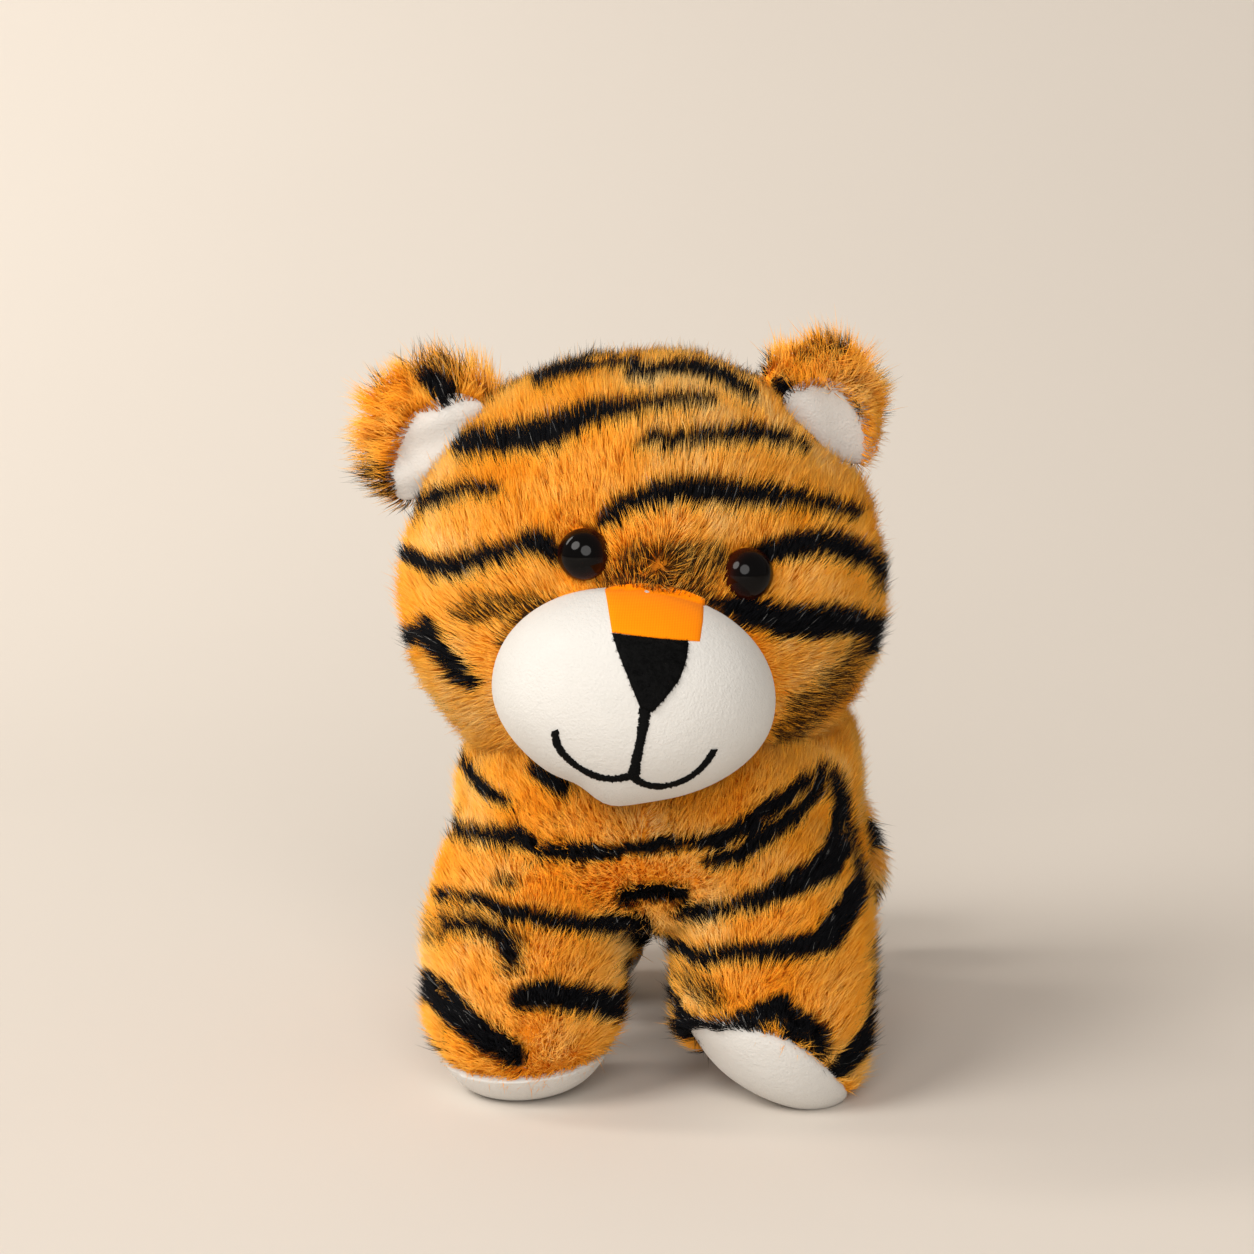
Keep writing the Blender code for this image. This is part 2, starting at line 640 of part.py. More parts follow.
def build_ears(head, cover, filling, finish):
    for side, label, angle, twist in ((-1, "right", RIGHT_EAR_ANGLE, RIGHT_EAR_TWIST),
                                      (1, "left", LEFT_EAR_ANGLE, LEFT_EAR_TWIST)):
        x, z = head_side_at(angle, EAR_BEHIND)
        lean = angle + EAR_LEAN
        outward = Vector((side * math.cos(lean), 0, math.sin(lean)))
        spot = Vector((side * x, EAR_BEHIND, z + HEAD_OVER_NECK)) - outward * EAR_SEAT_DEPTH
        upright = side * (math.pi / 2 - lean)
        turn = Matrix.Rotation(upright, 3, "Y") @ Matrix.Rotation(twist, 3, "Z")
        ear = empty(f"ear_joint_{label}", spot, turn.to_euler(), head)

        room = EAR_HALF_THICKNESS * EAR_FOLD_ROOM_SHARE
        recess = soft_form(f"ear_recess_{label}", EAR_HALF_WIDTH + 2 * GAP, room, room, room,
                           LEG_SEGMENTS, LEG_RINGS)
        recess = as_cutter(place(f"ear_recess_{label}", recess, None, ear))
        cut(cover, recess)
        cut(filling, recess)

        lining_spot = (0, -LINING_FORWARD, LINING_RISE)
        seat = soft_form(f"lining_seat_{label}", LINING_HALF_WIDTH + GAP, LINING_HALF_THICKNESS + GAP,
                         LINING_HALF_HEIGHT + GAP, LINING_HALF_HEIGHT + GAP, SMALL_SEGMENTS, SMALL_RINGS)
        seat = as_cutter(place(f"lining_seat_{label}", seat, None, ear, lining_spot))
        base = lid_box(f"lining_base_{label}", EAR_HALF_WIDTH, OVERRUN)
        base = as_cutter(place(f"lining_base_{label}", base, None, ear, (0, 0, LINING_BASE)))
        below = lid_box(f"lining_below_{label}", EAR_HALF_WIDTH, OVERRUN)
        below = as_cutter(place(f"lining_below_{label}", below, None, ear, (0, 0, LINING_BASE - GAP)))
        cut(seat, below)
        back = soft_form(f"ear_back_{label}", EAR_HALF_WIDTH, EAR_HALF_THICKNESS, EAR_HEIGHT,
                         EAR_HALF_THICKNESS, LEG_SEGMENTS, LEG_RINGS)
        back = place(f"ear_back_{label}", back, finish["fur"], ear)
        cut(back, seat)
        lining = soft_form(f"ear_lining_{label}", LINING_HALF_WIDTH, LINING_HALF_THICKNESS,
                           LINING_HALF_HEIGHT, LINING_HALF_HEIGHT, SMALL_SEGMENTS, SMALL_RINGS)
        lining = place(f"ear_lining_{label}", lining, finish["velboa"], ear, lining_spot)
        cut(lining, base)


def tail_root():
    return (0, CHEST_Y + BODY_LENGTH + TAIL_ROOT_BEHIND, TAIL_ROOT_Z)


def tail_point(share):
    """The tail's centreline from its root: straight back, round to the side, then down."""
    bend = math.pi / 2 * share
    out = TAIL_OUT * math.sin(bend) ** TAIL_OUT_POWER_SHARE
    back = TAIL_BACK * math.sin(math.pi / 2 * min(1.0, share / TAIL_STRAIGHT_SHARE))
    drop = TAIL_DROP * (1 - math.cos(bend)) ** TAIL_DROP_POWER_SHARE
    return Vector((out, back, -drop))


def build_tail(finish):
    """A tube of round rings along the centreline, closed by a half ball at the root and the tip."""
    centres = [tail_point(k / TAIL_STEPS) for k in range(TAIL_STEPS + 1)]
    rings = []
    cap_rings = 3
    across = Vector((1, 0, 0))
    for k, centre in enumerate(centres):
        ahead = centres[min(k + 1, TAIL_STEPS)] - centres[max(k - 1, 0)]
        if k == 0:
            ahead = Vector((0, 1, 0))
        ahead.normalize()
        across = (across - ahead * across.dot(ahead)).normalized()
        over = across.cross(ahead)
        share = k / TAIL_STEPS
        narrowing = (1 - TAIL_TIP_SHARE) * share ** 2
        radius = TAIL_RADIUS * (1 + TAIL_SWELL_SHARE * math.sin(math.pi * share) - narrowing)
        offsets = [0.0]
        if k == 0:
            offsets = [-math.cos(math.pi / 2 * j / cap_rings) for j in range(cap_rings + 1)]
        if k == TAIL_STEPS:
            offsets = [math.sin(math.pi / 2 * j / cap_rings) for j in range(cap_rings + 1)]
        for offset in offsets:
            narrow = radius * math.sqrt(max(0.0, 1 - offset * offset))
            middle = centre + ahead * radius * offset
            if abs(offset) == 1:
                rings.append([middle])
                continue
            turns = [2 * math.pi * j / TAIL_SEGMENTS for j in range(TAIL_SEGMENTS)]
            rings.append([middle + (across * math.cos(t) + over * math.sin(t)) * narrow for t in turns])
    joint = empty("tail_joint", tail_root())
    place("tail", closed_rings("tail", rings), finish["fur"], joint)


def centre_on_floor():
    """Hangs everything on one root, set so that the middle of the toy's footprint is at the origin."""
    tops = [thing for thing in bpy.data.objects if thing.parent is None]
    bpy.context.view_layer.update()
    graph = bpy.context.evaluated_depsgraph_get()
    corners = []
    for thing in bpy.data.objects:
        if thing.type == "MESH" and not thing.hide_render:
            shown = thing.evaluated_get(graph)
            corners += [shown.matrix_world @ vertex.co for vertex in shown.to_mesh().vertices]
            shown.to_mesh_clear()
    middle_x = (min(c.x for c in corners) + max(c.x for c in corners)) / 2
    middle_y = (min(c.y for c in corners) + max(c.y for c in corners)) / 2
    root = empty("toy", (-middle_x, -middle_y, 0))
    for thing in tops:
        thing.parent = root


def build():
    clear_scene()
    finish = fill_finishes()
    rear_leg_y = CHEST_Y + BODY_LENGTH - REAR_LEG_INSET
    body_shape, neck = build_body(finish)
    build_neck_wad(neck, finish)
    straight = (STRAIGHT_ROLL_SLOPE_SHARE, STRAIGHT_PITCH_SLOPE_SHARE, SOLE_RISE)
    rolled = (ROLLED_FOOT_SLOPE_SHARE, ROLLED_PITCH_SLOPE_SHARE, ROLLED_SOLE_RISE)
    build_leg("front_leg_right", -FRONT_LEG_X, FRONT_LEG_Y, LEG_HALF_WIDTH, straight, body_shape, finish)
    build_leg("front_leg_left", FRONT_LEG_X, FRONT_LEG_Y, LEG_HALF_WIDTH, rolled, body_shape, finish)
    build_leg("rear_leg_right", -REAR_LEG_X, rear_leg_y, REAR_LEG_HALF_WIDTH, straight, body_shape, finish)
    build_leg("rear_leg_left", REAR_LEG_X, rear_leg_y, REAR_LEG_HALF_WIDTH, straight, body_shape, finish)
    build_head(neck, finish)
    build_tail(finish)
    centre_on_floor()


build()
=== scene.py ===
# %% [markdown]
# A small plush tiger stands on four stuffed legs. Its look comes from three things: the dense
# straight pile of its fur fabric, the black stripes printed into that pile, and the smooth white
# muzzle with its felt nose and stitched mouth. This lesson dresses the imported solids, one thing at
# a time. First the solids come in as a fixed frame, and the places of its joints tell us where the
# neck, the ears and the tail are, so nothing is fitted by eye.

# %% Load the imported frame
import json
import math

import bmesh
import bpy
import numpy as np
from mathutils import Matrix, Vector


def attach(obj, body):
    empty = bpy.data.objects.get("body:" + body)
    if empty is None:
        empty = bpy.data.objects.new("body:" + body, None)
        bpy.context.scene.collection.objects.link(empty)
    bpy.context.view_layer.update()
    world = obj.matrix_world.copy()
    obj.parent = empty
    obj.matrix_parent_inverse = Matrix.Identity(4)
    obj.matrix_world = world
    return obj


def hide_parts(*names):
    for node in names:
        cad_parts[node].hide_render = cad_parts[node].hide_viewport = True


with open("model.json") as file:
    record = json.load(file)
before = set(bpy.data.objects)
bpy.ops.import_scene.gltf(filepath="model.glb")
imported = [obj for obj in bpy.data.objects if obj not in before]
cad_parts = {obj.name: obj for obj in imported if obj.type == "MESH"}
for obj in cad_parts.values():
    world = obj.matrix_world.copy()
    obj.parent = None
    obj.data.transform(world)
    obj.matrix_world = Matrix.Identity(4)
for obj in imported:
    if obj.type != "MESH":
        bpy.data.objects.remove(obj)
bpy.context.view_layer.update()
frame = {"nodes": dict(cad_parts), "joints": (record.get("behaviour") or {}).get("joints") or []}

joints = {joint["name"]: joint for joint in frame["joints"]}
NECK = np.array(joints["head_turn"]["pos_m"])
TAIL_ROOT = np.array(joints["tail_swing"]["pos_m"])
print("neck at", NECK, "tail root at", TAIL_ROOT)

# %% [markdown]
# The photograph was taken from a little above and a little to the animal's left. The eyes are 12 mm
# toy eyes and 50 pixels wide, which gives the scale, and the perspective of the feet and the ears
# gives the distance. The same numbers that place the camera also turn a pixel of the photograph
# into a ray, so that a stripe or a stitch can be named by where it is seen.

# %% The camera
AZIMUTH = math.radians(5.0)
ELEVATION = math.radians(9.0)
DISTANCE = 0.80
EYES_AWAY = 0.76
PIXELS = 1254
PIXEL_SIZE = 0.00024
FOCAL = EYES_AWAY / PIXEL_SIZE
SENSOR = 36.0
AIM = NECK + (-0.0048, 0.0100, 0.0255)
level = math.cos(ELEVATION)
BACK = np.array([math.sin(AZIMUTH) * level, -math.cos(AZIMUTH) * level, math.sin(ELEVATION)])
RIGHT = np.array([math.cos(AZIMUTH), math.sin(AZIMUTH), 0.0])
UP = np.cross(BACK, RIGHT)
VIEWPOINT = AIM + BACK * DISTANCE

lens = bpy.data.cameras.new("photo_camera")
lens.sensor_width = SENSOR
lens.lens = SENSOR * FOCAL / PIXELS
lens.clip_start = 0.05
lens.clip_end = 80.0
camera = bpy.data.objects.new("photo_camera", lens)
bpy.context.scene.collection.objects.link(camera)
camera.location = VIEWPOINT
camera.rotation_euler = Vector(-BACK).to_track_quat("-Z", "Y").to_euler()
bpy.context.scene.camera = camera
print(f"camera: {lens.lens:.1f} mm lens at", np.round(VIEWPOINT, 3))


# %% From places to pixels and back
def seen_at(points):
    """The pixel of the photograph where each point is seen."""
    away = np.asarray(points, float) - VIEWPOINT
    depth = -(away @ BACK)
    across = PIXELS / 2 + FOCAL * (away @ RIGHT) / depth
    down = PIXELS / 2 - FOCAL * (away @ UP) / depth
    return np.stack([across, down], axis=-1)


def rays_through(pixels):
    """The direction in which each pixel looks."""
    pixels = np.asarray(pixels, float)
    across = (pixels[:, :1] - PIXELS / 2) / FOCAL * RIGHT
    along = -BACK + across - (pixels[:, 1:2] - PIXELS / 2) / FOCAL * UP
    return along / np.linalg.norm(along, axis=1, keepdims=True)


# %% [markdown]
# Every finish below is a small piece of arithmetic on noise, so the shader maths is written as
# arithmetic. One class wraps a socket and knows plus, minus, times and powers. Anything that isn't
# arithmetic comes from one method that names the node, its settings and its sockets.


# %% Shader maths
class Wire:
    """A socket in shader maths, so that 1 - mask * 0.5 adds the Math nodes it needs."""

    def __init__(self, finish, socket):
        self.finish, self.socket = finish, socket

    def maths(self, operation, *values):
        return self.finish.node("ShaderNodeMath", {"operation": operation}, dict(enumerate(values)))

    def __add__(self, other):
        return self.maths("ADD", self, other)

    def __mul__(self, other):
        return self.maths("MULTIPLY", self, other)

    def __sub__(self, other):
        return self.maths("SUBTRACT", self, other)

    def __rsub__(self, other):
        return self.maths("SUBTRACT", other, self)

    def __pow__(self, other):
        return self.maths("POWER", self, other)

    def clamped(self):
        return self.finish.node("ShaderNodeClamp", {}, {"Value": self})

    __radd__, __rmul__ = __add__, __mul__


class Finish:
    """A material whose Principled shader is fed by wires."""

    def __init__(self, name, **constants):
        self.material = bpy.data.materials.new(name)
        self.material.use_nodes = True
        self.tree = self.material.node_tree
        self.shader = self.tree.nodes["Principled BSDF"]
        for socket, value in constants.items():
            self.shader.inputs[socket.replace("_", " ")].default_value = value

    def node(self, kind, settings, sockets, output=0):
        made = self.tree.nodes.new(kind)
        for key, value in settings.items():
            setattr(made, key, value)
        for key, value in sockets.items():
            if isinstance(value, Wire):
                self.tree.links.new(value.socket, made.inputs[key])
            else:
                made.inputs[key].default_value = value
        return Wire(self, made.outputs[output])

    def mix(self, factor, one, other):
        """A colour between two colours, which are wires or triples."""
        one, other = (c if isinstance(c, Wire) else (*c, 1.0) for c in (one, other))
        return self.node("ShaderNodeMix", {"data_type": "RGBA"}, {0: factor, 6: one, 7: other}, 2)

    def ramp(self, factor, stops):
        """A colour that runs through several stops, each a place and a triple."""
        wire = self.node("ShaderNodeValToRGB", {}, {"Fac": factor})
        elements = wire.socket.node.color_ramp.elements
        while len(elements) < len(stops):
            elements.new(0.5)
        for element, (place, colour) in zip(elements, stops):
            element.position = place
            element.color = (*colour, 1.0)
        return wire

    def place(self):
        return self.node("ShaderNodeTexCoord", {}, {}, "Object")

    def noise(self, size, detail=2.0, rough=0.5):
        """Cloudy noise whose blotches are about size metres across."""
        sockets = {"Vector": self.place(), "Scale": 1 / size, "Detail": detail, "Roughness": rough}
        return self.node("ShaderNodeTexNoise", {}, sockets, "Fac")

    def wave(self, direction, scale, distortion, detail=2.0):
        """Even bands along one axis."""
        sockets = {"Vector": self.place(), "Scale": scale, "Distortion": distortion, "Detail": detail}
        return self.node("ShaderNodeTexWave", {"bands_direction": direction}, sockets, 1)

    def coat(self):
        """The three numbers that a point of fur or skin carries."""
        pile = self.node("ShaderNodeAttribute", {"attribute_name": "pile"}, {}, "Color")
        return [self.node("ShaderNodeSeparateColor", {}, {"Color": pile}, k) for k in range(3)]

    def bump(self, height, strength, depth):
        sockets = {"Height": height, "Strength": strength, "Distance": depth}
        return self.node("ShaderNodeBump", {}, sockets)

    def feed(self, **wires):
        for socket, wire in wires.items():
            self.tree.links.new(wire.socket, self.shader.inputs[socket.replace("_", " ")])
        return self.material


# %% [markdown]
# The fur. Each strand carries three numbers at its points: how black it is, how far along it the
# point lies, and its own tone. Each strand is painted deep orange at the root and lighter and
# yellower at the tip. This is partly the paler tips of real plush, partly painted shade down between
# the fibres and painted light where they spread and take it, so the colour is a mix along the strand.
# Broad soft noise adds the patches of lighter and darker orange that brushing leaves. The black
# fibres are a blue-black with a little more gloss, and a few of them are painted pale at their tips:
# painted glints, which stand in for the highlights on them.

# %% Tiger fur
ORANGES = [(0.0, (0.88, 0.27, 0.008)), (0.35, (0.96, 0.38, 0.020)),
           (0.68, (1.0, 0.50, 0.075)), (1.0, (1.0, 0.66, 0.24))]
fur = Finish("tiger_fur", Specular_IOR_Level=0.10)
black, along, tone = fur.coat()
patches = fur.noise(0.026) * 0.7 + fur.noise(0.008) * 0.3
# deep orange at the root is painted shade down in the pile, and the pale tip is partly painted light
lightness = (along * 0.50 + tone * 0.26 + (patches - 0.5) * 1.9 + 0.08).clamped()
orange = fur.ramp(lightness, ORANGES)
ink = fur.mix(along * 0.5 + tone * 0.5, (0.0008, 0.0009, 0.0014), (0.0050, 0.0054, 0.0075))
# painted highlight: a few black strands are painted pale at the tip, for the glints on them
painted_glint = ((tone - 0.94) * 30.0).clamped() * along ** 5.0 * black
coat_colour = fur.mix(painted_glint, fur.mix(black, orange, ink), (0.75, 0.74, 0.70))
tiger_fur = fur.feed(Base_Color=coat_colour, Roughness=0.72 - black * 0.10 + tone * 0.1)
print("fur:", len(fur.tree.nodes), "nodes")

# %% [markdown]
# The smooth white fabric of the muzzle, the ear linings and the soles is a short velour. Its pile
# is too short to see hair by hair. Seen from a step away it is nearly even, with a soft bloom at
# its edges where the pile is seen from the side: that is sheen. Fine noise in the bump stands for
# the nap, and a broader one for the way it was stroked.

# %% White velour
velour = Finish("white_velboa", Specular_IOR_Level=0.15, Sheen_Weight=0.25, Sheen_Roughness=0.45,
                Sheen_Tint=(1.0, 0.97, 0.92, 1.0))
nap = velour.noise(0.0006, 3.0)
cloud = velour.noise(0.012)
stroked = velour.noise(0.0018, 3.0)
white = velour.mix((nap * 0.35 + cloud * 0.65).clamped(), (0.56, 0.545, 0.515), (0.65, 0.635, 0.605))
white_velboa = velour.feed(Base_Color=white, Roughness=0.85 + nap * 0.1,
                           Normal=velour.bump(nap + stroked * 0.7, 0.6, 0.00036))
print("velour:", len(velour.tree.nodes), "nodes")

# %% [markdown]
# The patch over the nose is a bright orange knitted jersey. A knit is rows of small loops, so two
# crossed waves make its grain, one for the columns and one for the loops along them.

# %% Orange jersey
jersey = Finish("orange_jersey", Specular_IOR_Level=0.06, Sheen_Weight=0.06,
                Sheen_Tint=(1.0, 0.7, 0.4, 1.0))
knit = jersey.wave("X", 520.0, 0.9, 1.0) * 0.6 + jersey.wave("Z", 640.0, 1.2) * 0.4
worn = (knit * 0.6 + jersey.noise(0.004) * 0.4).clamped()
orange_jersey = jersey.feed(Base_Color=jersey.mix(worn, (0.86, 0.200, 0.0), (0.95, 0.262, 0.001)),
                            Roughness=0.9 - knit * 0.1, Normal=jersey.bump(knit, 0.16, 0.0002))
print("jersey:", len(jersey.tree.nodes), "nodes")


# %% [markdown]
# The felt of the nose, the thread of the mouth, the eyes' washers and the fibre in the neck are
# plainer. One noise sets the colour, the dullness and the relief of each.


# %% Felt, thread, washer plastic, fibre
def plain_finish(name, size, detail, colours, dullness, relief, rough=0.5, **constants):
    """A finish from one noise. Each pair is a start and what the noise adds, or two ends."""
    finish = Finish(name, **constants)
    grain = finish.noise(size, detail, rough)
    dull, dulling = dullness
    return finish.feed(Base_Color=finish.mix(grain, *colours), Roughness=dull + grain * dulling,
                       Normal=finish.bump(grain, *relief))


black_felt = plain_finish("black_felt", 0.0004, 4.0, ((0.0015, 0.0015, 0.0016), (0.0060, 0.0060, 0.0060)),
                          (0.82, 0.15), (0.6, 0.0004), Specular_IOR_Level=0.06)
black_thread = plain_finish("black_thread", 0.0003, 2.0, ((0.0012, 0.0012, 0.0012), (0.005, 0.005, 0.005)),
                            (0.65, 0.2), (0.4, 0.0002), Specular_IOR_Level=0.06)
washer_plastic = plain_finish("washer_plastic", 0.0006, 3.0, ((0.66, 0.66, 0.62), (0.80, 0.80, 0.77)),
                              (0.4, 0.2), (0.15, 0.0002), Specular_IOR_Level=0.4)
polyester_fibre = plain_finish("polyester_fibre", 0.0012, 5.0, ((0.70, 0.70, 0.68), (0.92, 0.92, 0.90)),
                               (0.9, 0.1), (0.8, 0.001), 0.7, Sheen_Weight=0.3)
for node in ("eye_washer_right", "eye_washer_left"):
    frame["nodes"][node].data.materials.clear()
    frame["nodes"][node].data.materials.append(washer_plastic)

# %% Eye plastic
eye_finish = Finish("eye_plastic", Specular_IOR_Level=0.13, Coat_Weight=0.02, Coat_Roughness=0.02)
rim = eye_finish.coat()[0]
smear = eye_finish.noise(0.003)
# near its edge the eye is painted red-brown: a painted reflection of the orange fur round it
painted_fur_reflection = (rim ** 9.0 * (0.75 + smear * 0.5)).clamped()
eye_colour = eye_finish.mix(painted_fur_reflection, (0.0012, 0.0009, 0.0009), (0.045, 0.007, 0.003))
eye_plastic = eye_finish.feed(Base_Color=eye_colour, Roughness=0.05 + smear * 0.05)
print("finishes:", len(bpy.data.materials), "with the solids' own")

# %% [markdown]
# A stuffed form swells and tapers. The solids are made of rings whose size follows a rounded
# profile, and the cloth under the fur uses the same rings, drawn in by the height of the pile. So
# the skin sits inside its solid, and the strands fill the space between them.

# %% Swelling forms
PILE_HEIGHT = 0.0042


def rounded(value, share):
    return np.sign(value) * np.abs(value) ** share


def swelling(half_width, half_depth, up, down, up_share, down_share, square_share=1.0, rings=56, around=88):
    """Rings of a stuffed form from bottom to top, and how far each rises, from -1 to 1."""
    angle = np.linspace(-np.pi / 2, np.pi / 2, rings + 1)[:, None]
    turn = 2 * np.pi * np.arange(around)[None] / around
    share = np.clip(np.cos(angle), 0, 1) ** np.where(angle > 0, up_share, down_share)
    height = np.where(angle > 0, up, down) * np.sin(angle)
    across = half_width * share * rounded(np.cos(turn), square_share)
    deep = half_depth * share * rounded(np.sin(turn), square_share)
    return np.stack([across, deep, height + 0 * turn], axis=-1), np.sin(angle) + 0 * turn


def turned_about(axis, angle):
    return np.array(Matrix.Rotation(angle, 3, axis))


def circle(count):
    """Cosines and sines of even steps round a circle."""
    turn = 2 * np.pi * np.arange(count) / count
    return np.stack([np.cos(turn), np.sin(turn)], axis=1)


def unit(vectors):
    return vectors / np.maximum(np.linalg.norm(vectors, axis=-1, keepdims=True), 1e-9)


def store_coat(mesh, coat):
    """Keep three numbers at each point: how black, how far along its strand, and its tone."""
    colours = np.concatenate([coat, np.ones((len(coat), 1))], axis=1).astype(np.float32)
    mesh.attributes.new("pile", "FLOAT_COLOR", "POINT").data.foreach_set("color", colours.ravel())


def mesh_object(name, points, faces, finish, corner_uv=None, coat=None):
    """An object from arrays: points, groups of faces of one length each, and the corners' UV."""
    mesh = bpy.data.meshes.new(name)
    corners = np.concatenate([group.ravel() for group in faces]).astype(np.int32)
    sizes = np.concatenate([np.full(len(group), group.shape[1]) for group in faces])
    starts = np.concatenate([[0], np.cumsum(sizes)[:-1]]).astype(np.int32)
    mesh.vertices.add(len(points))
    mesh.vertices.foreach_set("co", np.asarray(points, np.float32).ravel())
    mesh.loops.add(len(corners))
    mesh.loops.foreach_set("vertex_index", corners)
    mesh.polygons.add(len(sizes))
    mesh.polygons.foreach_set("loop_start", starts)
    mesh.update(calc_edges=True)
    mesh.shade_smooth()
    if corner_uv is not None:
        layer = mesh.uv_layers.new(name="OFBake")
        layer.data.foreach_set("uv", np.asarray(corner_uv, np.float32).ravel())
    if coat is not None:
        store_coat(mesh, coat)
    mesh.materials.append(finish)
    thing = bpy.data.objects.new(name, mesh)
    bpy.context.scene.collection.objects.link(thing)
    return thing


def ringed_object(name, grid, finish, coat=None):
    """A closed object from a grid of rings whose first and last rings are single points."""
    rings, around = grid.shape[0] - 1, grid.shape[1]
    points = np.concatenate([grid[:1, 0], grid[1:-1].reshape(-1, 3), grid[-1:, 0]])
    k = np.arange(around)
    after = (k + 1) % around
    low = 1 + np.arange(rings - 2)[:, None] * around
    quads = np.stack([low + k, low + after, low + around + after, low + around + k], axis=-1)
    top = 1 + (rings - 2) * around
    bottom_cap = np.stack([0 * k, 1 + after, 1 + k], axis=1)
    top_cap = np.stack([0 * k + len(points) - 1, top + k, top + after], axis=1)
    faces = [quads.reshape(-1, 4), np.concatenate([bottom_cap, top_cap])]

    u = k / around
    v = np.arange(rings + 1) / rings
    squares = [np.stack([u[None] + right / around + 0 * v[1:-2, None],
                         v[1:-2, None] + up / rings + 0 * u[None]], axis=-1)
               for right, up in ((0, 0), (1, 0), (1, 1), (0, 1))]
    uv = [np.stack(squares, axis=2).reshape(-1, 2)]
    for corners in (((0.5, 0), (1, v[1]), (0, v[1])), ((0.5, 1), (0, v[-2]), (1, v[-2]))):
        cap = [np.stack([u + right / around, 0 * u + up], axis=-1) for right, up in corners]
        uv.append(np.stack(cap, axis=1).reshape(-1, 2))
    return mesh_object(name, points, faces, finish, np.concatenate(uv), coat)


# %% [markdown]
# Fur needs roots spread evenly over any skin, so the skin's triangles are read as arrays, and roots
# are dropped on them by area. Smooth noise is a sum of a few random waves, which numpy works out
# for a hundred thousand strands at once.

# %% Roots and noise
SQUARE_MM = 1e6


def read(items, attribute, kind):
    values = np.empty(len(items) * 3, kind)
    items.foreach_get(attribute, values)
    return values.reshape(-1, 3)


def surface_of(thing):
    """A mesh's points, smooth normals and triangles."""
    mesh = thing.data
    mesh.calc_loop_triangles()
    points = read(mesh.vertices, "co", np.float32).astype(float)
    normals = read(mesh.vertices, "normal", np.float32).astype(float)
    return points, normals, read(mesh.loop_triangles, "vertices", np.int32)


def sown(surface, per_square_mm, seed):
    """Roots dropped evenly on a surface, with its normal at each."""
    points, normals, triangles = surface
    chance = np.random.default_rng(seed)
    a, b, c = (points[triangles[:, k]] for k in range(3))
    area = np.linalg.norm(np.cross(b - a, c - a), axis=1) / 2
    count = int(area.sum() * SQUARE_MM * per_square_mm)
    pick = np.searchsorted(np.cumsum(area), chance.random(count) * area.sum()).clip(0, len(area) - 1)
    u, v = chance.random(count), chance.random(count)
    u, v = np.where(u + v > 1, 1 - u, u), np.where(u + v > 1, 1 - v, v)
    weights = np.stack([1 - u - v, u, v], axis=1)[..., None]
    corners = triangles[pick]
    out = (normals[corners] * weights).sum(1)
    return (points[corners] * weights).sum(1), out / np.linalg.norm(out, axis=1, keepdims=True)


def rough(points, size, seed):
    """Smooth noise, mostly between -1 and 1, whose bumps are about size metres across."""
    chance = np.random.default_rng(seed)
    waves = chance.normal(size=(3, 9)) * (2.2 / size)
    return np.sin(points @ waves + chance.random(9) * 6.3).sum(1) / 3.0


def tufts(points, size, seed):
    """The tuft each point belongs to: cells of a grid that noise has bent out of square."""
    sway = np.stack([rough(points, size * 2.5, seed + k) for k in range(3)], axis=1)
    x, y, z = np.floor((points + sway * size * 0.5) / size).astype(np.int64).T
    cell_code = x * 73856093 ^ y * 19349663 ^ z * 83492791
    return np.unique(cell_code, return_inverse=True)[1].ravel()


# %% [markdown]
# One strand is a thin three-sided spike with a bend in it: a root ring, a middle ring and a tip.
# Three sides are the fewest that make a closed body, and a closed body casts a true shadow. Strands
# never stand alone: pile sticks together in tufts, so neighbours share a lean, and their tips
# gather towards their tuft's middle. Without that the coat looks like a brush.

# %% Strands
STRANDS_SHARE = 1.0
MOST_STRANDS = 19000
STRAND_POINTS = 7
SIDES = np.array([[0, 1, 4, 3], [1, 2, 5, 4], [2, 0, 3, 5]])
ENDS = np.array([[3, 4, 6], [4, 5, 6], [5, 3, 6], [0, 2, 1]])
CELL_UV = np.array([[0.1, 0.1], [0.5, 0.1], [0.9, 0.1], [0.15, 0.55], [0.5, 0.55], [0.85, 0.55],
                    [0.5, 0.95]])
CELL_SIZE = 0.006
ALONG = [0.0] * 3 + [0.62] * 3 + [1.0]
ROOT_DEPTH = 0.0006
ABOVE_FLOOR = 0.0002
HIDDEN_SHARE, HIDDEN_GIRTH = 0.68, 1.25
ONE_PANEL = ([""], lambda roots, out: np.zeros(len(roots), int))


def spread_of(roots):
    """How far round its piece each root lies, and how far along it."""
    low, high = roots.min(0), roots.max(0)
    away = roots - (low + high) / 2
    if high[1] - low[1] > 0.1:
        return np.arctan2(away[:, 0], away[:, 2]), roots[:, 1]
    return np.arctan2(away[:, 0], -away[:, 1]), roots[:, 2]


def strand_pieces(name, roots, points, coat, finish):
    """The strands of one panel as objects, none with more than MOST_STRANDS."""
    around, upward = spread_of(roots[0])
    order = roots[1][np.argsort(upward[roots[1]], kind="stable")]
    pieces = np.array_split(order, math.ceil(len(order) / MOST_STRANDS)) if len(order) else []
    for part, mine in enumerate(pieces):
        first_point = (np.arange(len(mine)) * STRAND_POINTS)[:, None, None]
        faces = [(first_point + SIDES).reshape(-1, 4), (first_point + ENDS).reshape(-1, 3)]
        spread = np.stack([around[mine], upward[mine]], axis=1)
        spread = 0.004 + 0.985 * (spread - spread.min(0)) / np.maximum(np.ptp(spread, axis=0), 1e-6)
        cells = spread[:, None] + CELL_UV * CELL_SIZE
        uv = np.concatenate([cells[:, SIDES].reshape(-1, 2), cells[:, ENDS].reshape(-1, 2)])
        full_name = name + (f"_{part + 1}" if len(pieces) > 1 else "")
        strands, their_coat = points[mine].reshape(-1, 3), coat[mine].reshape(-1, 3)
        yield mesh_object(full_name, strands, faces, finish, uv, their_coat)


